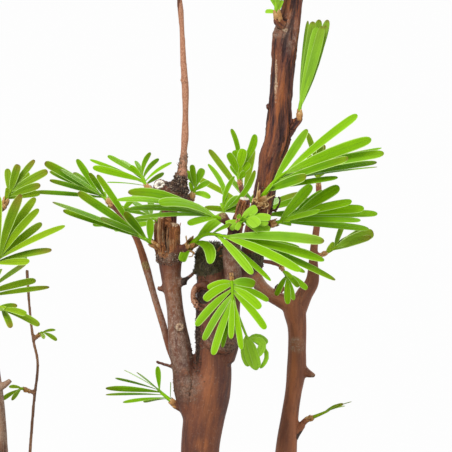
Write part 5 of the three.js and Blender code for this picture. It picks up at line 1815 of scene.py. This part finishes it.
HIDDEN_SHOOTS = {
    Tree.CENTRAL: [
        ("spray_leader_1", (28, 1, 238), (0.75, -0.45, 0.5), 4.2, 3, 11),
        ("spray_leader_2", (28, 1.2, 249), (-0.8, 0.2, 0.55), 3.8, 3, 12),
        ("spray_leader_3", (27.7, 1.5, 256), (0.45, 0.85, 0.3), 3.4, 3, 13),
        ("spray_leader_4", (28.2, 2, 266), (0.8, -0.1, 0.6), 3, 3, 14),
        ("spray_leader_5", (29, 2, 275), (-0.6, -0.6, 0.6), 2.8, 3, 15),
        ("spray_leader_top", (29, 2, 283), (0, 0.05, 1), 3.2, 2, 16),
        ("spray_shoot_top", (-3.6, 0, 259), (-0.15, -0.1, 1), 4, 3, 17),
        ("spray_shoot_side", (-3.2, 0, 238), (-0.75, -0.65, 0.3), 2.4, 3, 18),
        ("spray_back_stump", (-6, 3, 168), (-0.4, 0.9, 0.3), 4.6, 3, 19),
        ("spray_back_leader", (16.2, 2, 170), (0.3, 0.9, 0.25), 4, 3, 20),
    ],
    Tree.RIGHT: [
        ("spray_right_tree_fork", (16.2, 29.4, 168), (-0.2, 0.5, 0.9), 3.2, 3, 22),
    ],
    Tree.LEFT: [
        ("spray_left_tree_top", (-66, 3, 204), (-0.3, 0.1, 1), 3.4, 3, 24),
        ("spray_left_tree_1", (-53.4, 6, 133), (-0.9, 0.1, 0.4), 4.4, 3, 25),
        ("spray_left_tree_2", (-56.8, 4, 166), (-0.85, -0.35, 0.45), 3.8, 3, 26),
        ("spray_left_tree_3", (-61.2, 3.2, 188), (-0.6, 0.6, 0.55), 3, 3, 27),
        ("spray_left_tree_4", (-54.7, 5.4, 148), (0.1, 0.9, 0.35), 4.2, 3, 28),
    ],
}

CENTRAL_TRUNK = (
    (0, 0, 22, 10.6), (0.2, 0, 34, 10.4), (0.8, 0, 44, 9.2), (2.2, 0, 56, 7.2), (3.6, 0, 74, 6.1),
    (3.4, 0, 92, 5.4), (2.6, 0, 110, 5), (3.6, 0, 118.6, 5.4), (4.8, 0, 125, 5.7), (6, 0, 131, 4.9),
    (6, 0, 134.6, 4.6), (6.5, 0, 138.4, 5.2), (6.8, 0, 144.4, 5.4), (7, 0, 150, 5.4), (6.6, 0, 156, 4.9),
    (5.8, 0, 160.6, 4.5), (5.5, 0, 163.4, 3.3), (5.4, 0, 164.6, 1.4),
)

CENTRAL_LIMBS = (
    # left limb up to the broken stump
    ((1.6, 0, 119, 3.4), (-1, -0.2, 126, 3.2), (-1.8, -0.4, 131.3, 2.8), (-2.6, -0.4, 137, 3),
     (-3.3, -0.4, 142.5, 2.5), (-4, -0.2, 148.2, 2.2), (-4.9, 0, 155.2, 2.6), (-5.2, 0, 160.4, 3.1),
     (-5.4, 0.4, 164, 2.7), (-5.2, 0.8, 170, 1.9), (-5.2, 0.6, 174.4, 2.6), (-5, 0.2, 177.4, 4.4),
     (-4.9, 0, 179, 4.5), (-4.8, 0, 179.9, 3)),
    # splinters of its split wood
    ((-7.2, -0.8, 159.6, 1.6), (-7.7, -1.4, 163.6, 1.5), (-7.8, -1.6, 168, 1.35), (-7.6, -1.6, 171.2, 0.9)),
    ((-4.6, -1.8, 159.8, 2), (-4.3, -2.4, 163.6, 1.8), (-4.2, -2.7, 167, 1.6), (-4, -2.8, 169.4, 1.3)),
    ((-6.8, -1.6, 169.6, 0.7), (-5.2, -2.4, 169.2, 0.75), (-4, -2.8, 168.4, 0.8)),
    # sawn stub on the stump, which faces the viewer
    ((-6.8, -1, 177.2, 1.8), (-7.6, -2.6, 178.8, 1.8), (-7.9, -4, 179.6, 1.6)),
    # slim upright shoot
    ((-3.2, 0, 178, 2), (-2.4, 0, 181, 1.7), (-1.9, 0, 184, 1.15), (-1.6, 0, 188, 0.9),
     (-1.3, 0, 191.9, 1.05), (-1.2, 0, 197.6, 0.85), (-1.2, 0, 203.9, 1), (-1.7, 0, 211.4, 0.9),
     (-2.1, 0, 220, 0.75), (-2.5, 0, 225.4, 0.85), (-2.8, 0, 229, 0.65), (-3.3, 0, 243, 0.65),
     (-3.6, 0, 259, 0.6)),
    # thin branch behind the left limb
    ((-0.6, 1.6, 126, 1.5), (-3.4, 2.8, 132, 1.1), (-5.4, 3.6, 137, 1.05), (-7, 4.2, 142.5, 1),
     (-8.8, 4.6, 148.2, 0.95), (-10.1, 5.2, 152.6, 0.95), (-11.5, 5.6, 157.6, 1.1),
     (-14, 6.6, 165.1, 0.95), (-17.4, 7.6, 170.8, 0.85), (-20, 8, 173.6, 0.8)),
    # swelling on the right side, below the mossy stump that the trunk ends in
    ((9, -1, 134, 2.6), (10.2, -1.4, 138.2, 2.6), (10.4, -2, 142.6, 2.4)),
    # light front limb with its white cut
    ((8.6, -2.6, 138, 3), (9.8, -5, 143.6, 3), (10.6, -7, 149, 2.5), (11.2, -8, 154.7, 2.2),
     (10.8, -8, 162.5, 2.3), (11.9, -8, 168, 1.7), (12.7, -8, 171, 1.4), (13.7, -8.2, 173.8, 1.5),
     (14.2, -8.6, 175.2, 1.4), (14.3, -8.9, 175.9, 1.2)),
    # leader
    ((8, 0.4, 153, 4), (12.2, 0.8, 156.6, 3.7), (15.6, 1, 160, 3.3), (17, 1, 166.4, 3),
     (18.4, 1, 172.1, 2.9), (19.5, 1, 178.2, 2.8), (20.3, 1, 182, 2.9), (21, 1, 186.4, 3.3),
     (22.4, 1, 190.4, 3.5), (23, 1, 194.6, 3.5), (23.3, 1, 201.3, 3.1), (24, 1, 208.8, 3),
     (24.9, 1, 217, 3.4), (26.6, 1, 226, 2.7), (28.2, 1, 240, 2.1), (27.6, 1.4, 254, 1.7),
     (28.4, 2, 268, 1.3), (29, 2, 283, 0.9)),
    # dead knob between the stump and the leader
    ((9, 1, 157, 3.2), (14.6, 1.6, 157.4, 2.6), (18.4, 2.4, 159.6, 1.6)),
    # twig that carries the upright tuft
    ((23.6, 0.6, 190.6, 1.3), (26.2, 0.2, 193, 1), (27.6, 0, 196, 0.9)),
    # peeled bark that curls round a dark knot
    ((5, -4.2, 146.6, 0.7), (2.4, -4, 147.6, 0.8), (0.9, -3, 150, 0.8), (1.4, -3.4, 152.8, 0.8),
     (3.4, -5, 153.8, 0.8), (5, -5.2, 152.8, 0.7)),
    ((3.6, -2, 151.2, 1), (3.6, -4, 151.4, 0.7)),
    # wrinkled lip of the knob under the fan
    ((3, -4.2, 141.8, 0.7), (4.2, -5, 138.8, 0.8), (7.2, -5.7, 136.9, 0.85), (10, -4.8, 136.8, 0.85),
     (11.8, -3, 138.8, 0.8)),
    # smooth round bud on the front limb
    ((10.8, -8.6, 168.8, 0.5), (9.5, -9.9, 170, 0.8), (8.6, -10.8, 170.9, 1.5), (8.1, -11.3, 171.4, 1.2),
     (7.8, -11.6, 171.7, 0.5)),
    # hooked twig on the leader
    ((22, 0, 172.4, 0.6), (23, -1, 174, 0.5), (23.4, -1.2, 175.6, 0.4), (23, -1.2, 176.6, 0.4)),
    # snags and thin dead twigs
    ((-5, 0, 152, 0.9), (-8.6, -0.2, 152.6, 0.6)),
    ((-3.4, -0.6, 154, 1.4), (-1, -1.2, 154.4, 1)),
    ((-2, -1, 154.4, 0.7), (0.8, -1.6, 156.4, 0.5), (1.8, -1.8, 158.6, 0.4)),
    ((-2, -0.2, 131, 0.7), (-5.6, 1, 132.4, 0.5), (-9, 1.4, 133.4, 0.4)),
    ((22, 0, 199.4, 1), (19.8, -0.6, 199.8, 0.7)),
    # stubs under the ring scars, and a knob on the shoot
    ((-2.6, 0, 142.5, 1.4), (-2.6, -3.1, 142.7, 1.1)),
    ((-1.2, 0, 130.8, 1.4), (-1.2, -3.3, 131, 1)),
    ((-1, -0.2, 206.4, 0.9), (-2.4, -0.6, 207, 0.6)),
)

CENTRAL_SPOTS = spots(
    fibre=[
        ((19, 0, 178), (10, 10, 16), 0.3), ((23.5, 0, 202), (9, 9, 22), 0.3),
        ((26.5, 0, 232), (9, 9, 26), 0.3), ((28.5, 0, 265), (9, 9, 26), 0.4),
        ((13, -8.5, 171), (4, 4, 8), 0.4), ((-6, -1, 168), (6, 6, 8.5), 0.3),
        ((0.2, 0, 40), (30, 30, 42), 0.3),
    ],
    gray=[
        ((-3, -2, 144), (6, 6, 20), 0.6), ((-9, 4.8, 148), (6, 2.8, 18), 0.4),
        ((11, -8.5, 158), (4.5, 4.5, 9), 0.4), ((26, -2, 219), (3, 4, 7), 0.6),
        ((-0.4, -3, 127.4), (5, 5, 6), 1), ((8, -4.5, 138.6), (5.6, 4, 3), 0.6),
    ],
    warm=[
        ((-4.4, -2, 152), (3.4, 3, 8), 1), ((-11, 5.4, 152), (8, 3, 22), 0.3),
        ((3.2, -5.2, 112.4), (3, 3, 3), 0.8), ((4.8, -5.4, 126), (4, 3.4, 18), 1),
        ((22.8, -2.4, 206), (1.8, 3, 16), 1), ((25.6, -2, 224), (2, 3, 10), 1),
    ],
    olive=[((-11.7, 5, 158.3), (2, 3, 2.4), 1), ((8, -11.4, 171.6), (2.2, 2.2, 2.2), 0.8)],
    collar=[
        ((0.2, -2.4, 126.6), (5.4, 5, 5), 1), ((-5, -1, 160.6), (4.4, 5, 2.2)),
        ((8.4, -4, 138.8), (5, 4.5, 3.4)), ((11.4, -8.5, 162.6), (4, 4, 2)),
        ((22.6, -1, 219), (3.4, 4, 2.4)), ((-1.5, -1, 186.5), (2.6, 2.6, 3)),
    ],
    moss=[((5, -1, 160.4), (6.6, 7, 6.4), 0.3), ((17, -1, 159.8), (4.5, 5, 3), 0.5)],
    # Of the dark spots, those in the gap between the split splinters, in the hollow inside the peeled loop
    # and in the crevice right of the left limb are painted shade; the others are dark bark.
    dark=[
        ((-3.4, 0, 179), (6.2, 6, 3.8), 0.4), ((-7, 0.5, 178.4), (3.4, 3.4, 1.4), 0.5),
        ((-6.1, -3.4, 166), (0.7, 2.4, 4.6), 0.5), ((-0.8, -1.5, 154.3), (2.1, 2, 1.8)),
        ((3.6, -3.4, 150.4), (2.3, 4.6, 2.6), 0.5), ((1.7, -2.6, 140), (1.9, 4, 12), 0.8),
        ((21.2, -2.4, 208), (1, 2, 12), 0.8), ((27.4, -2, 224), (2.8, 3, 12), 2),
    ],
    orange=[((-6, -2.4, 166), (4.4, 3.2, 7), 0.4), ((13, -9, 172.6), (3, 3, 5), 0.5)],
    blush=[((1.2, -4, 150.2), (1.9, 2.6, 5), 0.8), ((-1.5, -1, 204), (3, 3, 30), 0.3)],
    pale=[
        ((22.2, -2.4, 208), (1.2, 2.2, 14), 1), ((24.6, -3.4, 219.6), (1.6, 2, 1.2)),
        ((-4.1, -4, 169.2), (1.5, 2.4, 0.9)), ((-7.6, -2.4, 171.2), (1.4, 2, 0.7)),
    ],
    cut=[((-7.9, -4.2, 179.6), (2, 1.4, 1.8), 0.6), ((14.3, -9.2, 176.3), (1.9, 2.2, 1.1), 0.3)],
)

RIGHT_TRUNK = (
    (24, 28, 24, 5.2), (24, 28, 36, 5), (24, 28, 46, 4.5), (24.2, 28, 58, 3.8), (24.6, 28, 80, 3.4),
    (25.4, 28, 98, 3.1), (25.7, 28, 107.2, 3), (26.7, 28, 117, 2.4), (27.7, 28, 123.6, 2.3),
    (28.5, 28, 129.5, 2.7), (28.7, 28, 135.5, 2.5), (28.7, 28, 141.3, 2.6), (28, 28, 146.6, 3.1),
    (28.4, 28, 150, 2.2),
)

RIGHT_LIMBS = (
    # left branch of the fork
    ((28.2, 28, 146.2, 2.6), (26.2, 28, 147.6, 2.4), (24, 28.2, 148.7, 2.1), (21.4, 28.5, 150.1, 1.95),
     (18.8, 28.9, 152.4, 1.9), (16.9, 29.2, 156.6, 1.7), (16.2, 29.4, 168, 1.1)),
    # right branch of the fork
    ((28.4, 28, 145, 2.6), (30.6, 28, 150, 2.3), (32.8, 28, 153.6, 1.9), (33.1, 28, 159, 1.3),
     (33.3, 28, 162.6, 1.1), (34.1, 28, 168.8, 0.95), (34.6, 28, 173, 0.9), (34.6, 28, 177, 0.85)),
    # thorn, low branch and knot
    ((29, 28, 130.4, 1.8), (31.4, 27.8, 128.8, 1.3), (33.6, 27.6, 128, 0.5)),
    ((26, 28, 109, 1.6), (28.4, 28, 112.4, 1.3), (30.2, 27.8, 114.8, 1)),
    ((24, 27, 151.4, 1.6), (23.6, 26, 152.4, 1.2)),
)

RIGHT_SPOTS = spots(
    gray=[
        ((28.6, 25.4, 136.6), (3.4, 3, 2.8)), ((33.4, 27.6, 128), (1.6, 1.6, 1.6)),
        ((19.6, 28.6, 152), (6, 5, 6), 0.8),
    ],
    dark=[((29.6, 27.6, 111.6), (2, 2.4, 2.4), 0.8), ((23.4, 26, 152.6), (1.6, 1.6, 1.4))],
    warm=[((27.6, 25.4, 126), (2.2, 3, 34), 1)],
    fibre=[((24, 28, 44), (14, 14, 30), 0.4)],
)

LEFT_TRUNK = (
    (-50, 6, 24, 5.4), (-50, 6, 36, 5.2), (-50.1, 6, 46, 4.8), (-50.5, 6, 60, 4.3), (-51.2, 6, 84, 4),
    (-51.6, 6, 108, 3.8), (-52.4, 6, 124, 3.4), (-54, 6, 138, 2.9), (-55.2, 5, 152, 2.4),
    (-56.8, 4, 166, 1.9), (-59.2, 3.4, 180, 1.5), (-62.4, 3, 192, 1.2), (-66, 3, 204, 0.9),
)

LEFT_LIMBS = (
    # snag towards the viewer
    ((-51, 5.4, 126, 1.2), (-48.6, 4.6, 127.2, 0.9), (-47, 4.2, 128.4, 0.6)),
    # thin whip behind, from low on the trunk
    ((-50, 7, 62, 1.6), (-46.6, 12, 76, 1), (-44.4, 17, 92, 0.7), (-43.4, 20, 107, 0.5),
     (-42.4, 21.4, 121, 0.46), (-41.4, 22, 132, 0.45), (-42.6, 22, 138.2, 0.45), (-43.6, 22, 147, 0.42),
     (-44.3, 22, 157, 0.5)),
)

LEFT_SPOTS = spots(
    fibre=[((-50, 6, 70), (14, 14, 50), 0.4)],
    gray=[((-52, 6, 130), (8, 8, 40), 0.4)],
)

CENTRAL_SCARS = (
    Scar((-2.6, -3.7, 142.7), 1.35),
    Scar((-1.4, -3.9, 131.2), 1.1, 0.25),
    Scar((-7.9, -4.2, 179.6), 1.3),
    Scar((8.6, -4.9, 133), 0.7, 0.6),
)

CENTRAL_LITTER = (
    Litter((-3.4, -0.6, 177.8), (6.4, 6, 4), 1100, (0.14, 0.36), tones=(0, 0.9)),
    Litter((-2.6, -0.8, 180.2), (3.6, 4, 2), 60, (0.2, 0.42), (1, 1, 0.7), (0.3, 1)),
    Litter((-1.8, -0.8, 184), (3, 3, 4), 90, (0.22, 0.5), (0.5, 0.5, 1.6), (0.3, 0.7)),
    Litter((-2.6, -3.7, 142.7), (1.7, 1.6, 1.7), 34, (0.12, 0.24), tones=(0.4, 1)),
    Litter((-5.2, -1.6, 160.4), (4.6, 4.6, 1.8), 200, (0.14, 0.3), tones=(0, 1)),
    Litter((8, -4, 138.4), (5.4, 4.4, 3), 90, (0.14, 0.3), tones=(0, 0.7)),
    Litter((-0.4, -3, 127.4), (5, 4.6, 5), 130, (0.1, 0.22), tones=(0.15, 0.75)),
    Litter((1.7, -2.6, 141), (2, 4, 11), 260, (0.12, 0.3), tones=(0, 0.4)),
    Litter((18.6, -1, 175), (4, 6, 4), 40, (0.2, 0.36), (0.6, 0.6, 1.6), (0, 0.6)),
    Litter((5, -1, 160.4), (7, 7.4, 6.2), 1500, (0.14, 0.32), moss=True, tones=(0, 0.9)),
    Litter((17, -1, 159.8), (4.5, 5, 3), 300, (0.14, 0.3), moss=True, tones=(0, 0.9)),
)

CENTRAL_SPLINTERS = (
    Splinters(
        ((-7.2, -0.8, 159.6), (-7.7, -1.4, 163.6), (-7.8, -1.6, 168), (-7.6, -1.6, 171.2)), 1.35, 34,
    ),
    Splinters(((-4.6, -1.8, 159.8), (-4.3, -2.4, 163.6), (-4.2, -2.7, 167), (-4, -2.8, 169.6)), 1.6, 34),
    Splinters(((12.4, -8, 169.6), (13.4, -8.1, 173), (14.2, -8.7, 175.8)), 1.4, 26),
)

SHEATH_THREADS = (
    Strand(((17.3, -5.6, 175.8), (17.5, -5.1, 178), (17.8, -5.6, 180.1)), 0.2, 1),
    Strand(((19, -5.6, 175), (20.3, -5.1, 175.8), (22.1, -5.6, 176.8)), 0.18, 1),
    Strand(((19.9, -4.6, 171.2), (20.1, -4.1, 172.2), (20.2, -4.6, 173.1)), 0.18, 1),
    Strand(((16.1, -5.4, 174.9), (16.5, -4.9, 175.8), (17.5, -5.4, 175.7), (17.5, -4.9, 174.8)), 0.17, 0.92),
    Strand(((17.1, -5.4, 174.7), (17.8, -4.9, 175.5), (18.8, -5.4, 175.3), (18.9, -4.9, 174.3)), 0.17, 0.97),
    Strand(
        ((18.1, -5.4, 174.2), (18.8, -4.9, 174.8), (19.6, -5.4, 174.3), (19.3, -4.9, 173.4),
         (18.5, -5.4, 173.3)),
        0.17, 0.85,
    ),
    Strand(((16.1, -5.4, 174), (16.8, -4.9, 173.6), (17.8, -5.4, 174), (18.4, -4.9, 173.7)), 0.16, 0.8),
    Strand(((16.6, -5.4, 175.3), (17.4, -4.9, 174.8), (18.3, -5.4, 174.7), (19.3, -4.9, 175.1)), 0.18, 1),
    Strand(((19.7, -5.4, 173.6), (20.4, -4.9, 174.2), (20.1, -5.4, 174.7)), 0.16, 0.9),
    Strand(((12.2, -13, 167.7), (12.9, -12.5, 168.1), (13.2, -13, 168.8), (12.7, -12.5, 169.2)), 0.18, 0.9),
    Strand(((7.2, -8.2, 162.3), (8.1, -7.8, 163.5), (9.4, -8.2, 163.2), (9.1, -7.8, 162)), 0.26, 0.05),
    Strand(((7.7, -8.2, 161), (8.8, -7.8, 161.3), (10, -8.2, 161.9)), 0.24, 0.1),
    Strand(((-0.4, -3, 162.8), (-1.4, -4.4, 163.4), (-1.8, -4.6, 162.4), (-0.8, -4.4, 161.6)), 0.3, 0.95),
    Strand(((0.4, -3.4, 163.8), (-0.6, -4.6, 164.4), (-1.6, -4.6, 163.6), (-1.8, -4, 162.4)), 0.26, 0.8),
    Strand(((0.2, -3.6, 162.2), (0.9, -5, 162), (0.7, -5, 161), (-0.3, -4.6, 160.8)), 0.26, 0.7),
)

WOODS = [
    Wood(
        Tree.CENTRAL, CENTRAL_TRUNK, ((15, 100, 195, 290), 27, 4.4), CENTRAL_LIMBS, CENTRAL_SPOTS,
        scars=CENTRAL_SCARS, litter=CENTRAL_LITTER, splinters=CENTRAL_SPLINTERS, threads=SHEATH_THREADS,
    ),
    Wood(
        Tree.RIGHT, RIGHT_TRUNK, ((50, 170, 290), 15, 2.6), RIGHT_LIMBS, RIGHT_SPOTS,
        voxel=0.32, thinnest=0.4,
    ),
    Wood(
        Tree.LEFT, LEFT_TRUNK, ((40, 160, 270), 16, 2.8), LEFT_LIMBS, LEFT_SPOTS,
        voxel=0.32, thinnest=0.38,
    ),
]

# The finishes of the pieces

BARK = {
    Tree.CENTRAL: BarkFinish(
        "bark_central", (0.075, 0.027, 0.02), (0.17, 0.055, 0.025), (0.29, 0.1, 0.04), (0.33, 0.225, 0.165)
    ),
    Tree.RIGHT: BarkFinish(
        "bark_right", (0.15, 0.052, 0.026), (0.3, 0.105, 0.045), (0.38, 0.15, 0.07), (0.26, 0.19, 0.12)
    ),
    Tree.LEFT: BarkFinish(
        "bark_left", (0.12, 0.055, 0.032), (0.3, 0.15, 0.08), (0.42, 0.24, 0.14), (0.38, 0.28, 0.2)
    ),
}
TRIMMINGS = {
    "crumbs": ToneFinish("bark_crumb", (0.02, 0.013, 0.01), (0.2, 0.11, 0.06), (0.55, 0.46, 0.37)),
    "moss": ToneFinish("stump_moss", (0.016, 0.014, 0.007), (0.07, 0.062, 0.025), (0.15, 0.16, 0.05)),
    "splinters": ToneFinish("split_fibre", (0.05, 0.02, 0.012), (0.28, 0.095, 0.03), (0.82, 0.56, 0.29)),
    "threads": ToneFinish("bud_scale", (0.18, 0.065, 0.022), (0.5, 0.24, 0.07), (0.82, 0.6, 0.3)),
}
FRESH_LEAVES = LeafFinish(
    "leaf_fresh", (0.05, 0.145, 0.001), (0.145, 0.345, 0.001), (0.27, 0.55, 0.003), (0.19, 0.22, 0.003), 0.6
)
DEEP_LEAVES = LeafFinish(
    "leaf_deep", (0.055, 0.13, 0.002), (0.15, 0.28, 0.003), (0.3, 0.47, 0.01), (0.24, 0.17, 0.02), 0.8
)
STONEWARE = GroundFinish(
    "stoneware", (0.1, 0.045, 0.026), (0.15, 0.07, 0.042), (0.22, 0.12, 0.075), 1.6, 0.12, 0.7
)
PLASTIC = GroundFinish(
    "drain_mesh", (0.012, 0.02, 0.016), (0.02, 0.032, 0.025), (0.04, 0.055, 0.045), 2, 0.05, 0.5
)
EARTH = GroundFinish("soil_earth", (0.03, 0.018, 0.011), (0.065, 0.042, 0.026), (0.11, 0.08, 0.05), 0.9, 0.5)
STONES = (
    GroundFinish("grit_tan", (0.2, 0.13, 0.07), (0.32, 0.21, 0.12), (0.45, 0.34, 0.22), 1.2, 0.15),
    GroundFinish("grit_gray", (0.08, 0.07, 0.06), (0.16, 0.14, 0.12), (0.3, 0.28, 0.25), 1.2, 0.15),
    GroundFinish("grit_brown", (0.06, 0.03, 0.018), (0.11, 0.055, 0.032), (0.18, 0.1, 0.06), 1.2, 0.15),
)
MOSS = GroundFinish("moss_green", (0.025, 0.06, 0.008), (0.07, 0.14, 0.015), (0.16, 0.24, 0.03), 0.5, 0.2)
FLOOR = GroundFinish("floor_pale", (0.78, 0.78, 0.77), (0.8, 0.8, 0.79), (0.82, 0.82, 0.81), 0.02, 0.02)


def main() -> None:
    """Builds the planting, piece by piece."""
    hidden = [hidden_spray(tree, *row) for tree, rows in HIDDEN_SHOOTS.items() for row in rows]
    sprays = [*SEEN_SPRAYS, *hidden]
    fresh, deep = FRESH_LEAVES.material(), DEEP_LEAVES.material()
    trimmings = {kind: finish.material() for kind, finish in TRIMMINGS.items()}
    papery = trimmings["threads"]
    for wood in WOODS:
        own = [spray for spray in sprays if spray.tree is wood.tree]
        buds = [spray.bud_stations() for spray in own if spray.foot is not Foot.GREEN]
        wood.build(buds, BARK[wood.tree].material(), trimmings)
        BudScales().build(wood.tree, own, papery)
    foliage = Foliage()
    for spray in sprays:
        foliage.build(spray, fresh if spray.tree is Tree.CENTRAL else deep)
    Pot().build(STONEWARE.material())
    plastic = PLASTIC.material()
    for side in (-1, 1):
        Screen(side).build(plastic)
    bed = SoilBed([wood.trunk[0][:2] for wood in WOODS])
    bed.bed(EARTH.material())
    bed.grit([stone.material() for stone in STONES])
    bed.moss(MOSS.material())
    Studio().build(FLOOR.material())
    sizes = {
        name: [list(corner) for corner in box]
        for name, box in (("cad", CAD_BOX), ("visual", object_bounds()))
    }


if __name__ == "__main__":
    logging.basicConfig(level=logging.INFO, format="%(message)s")
    main()
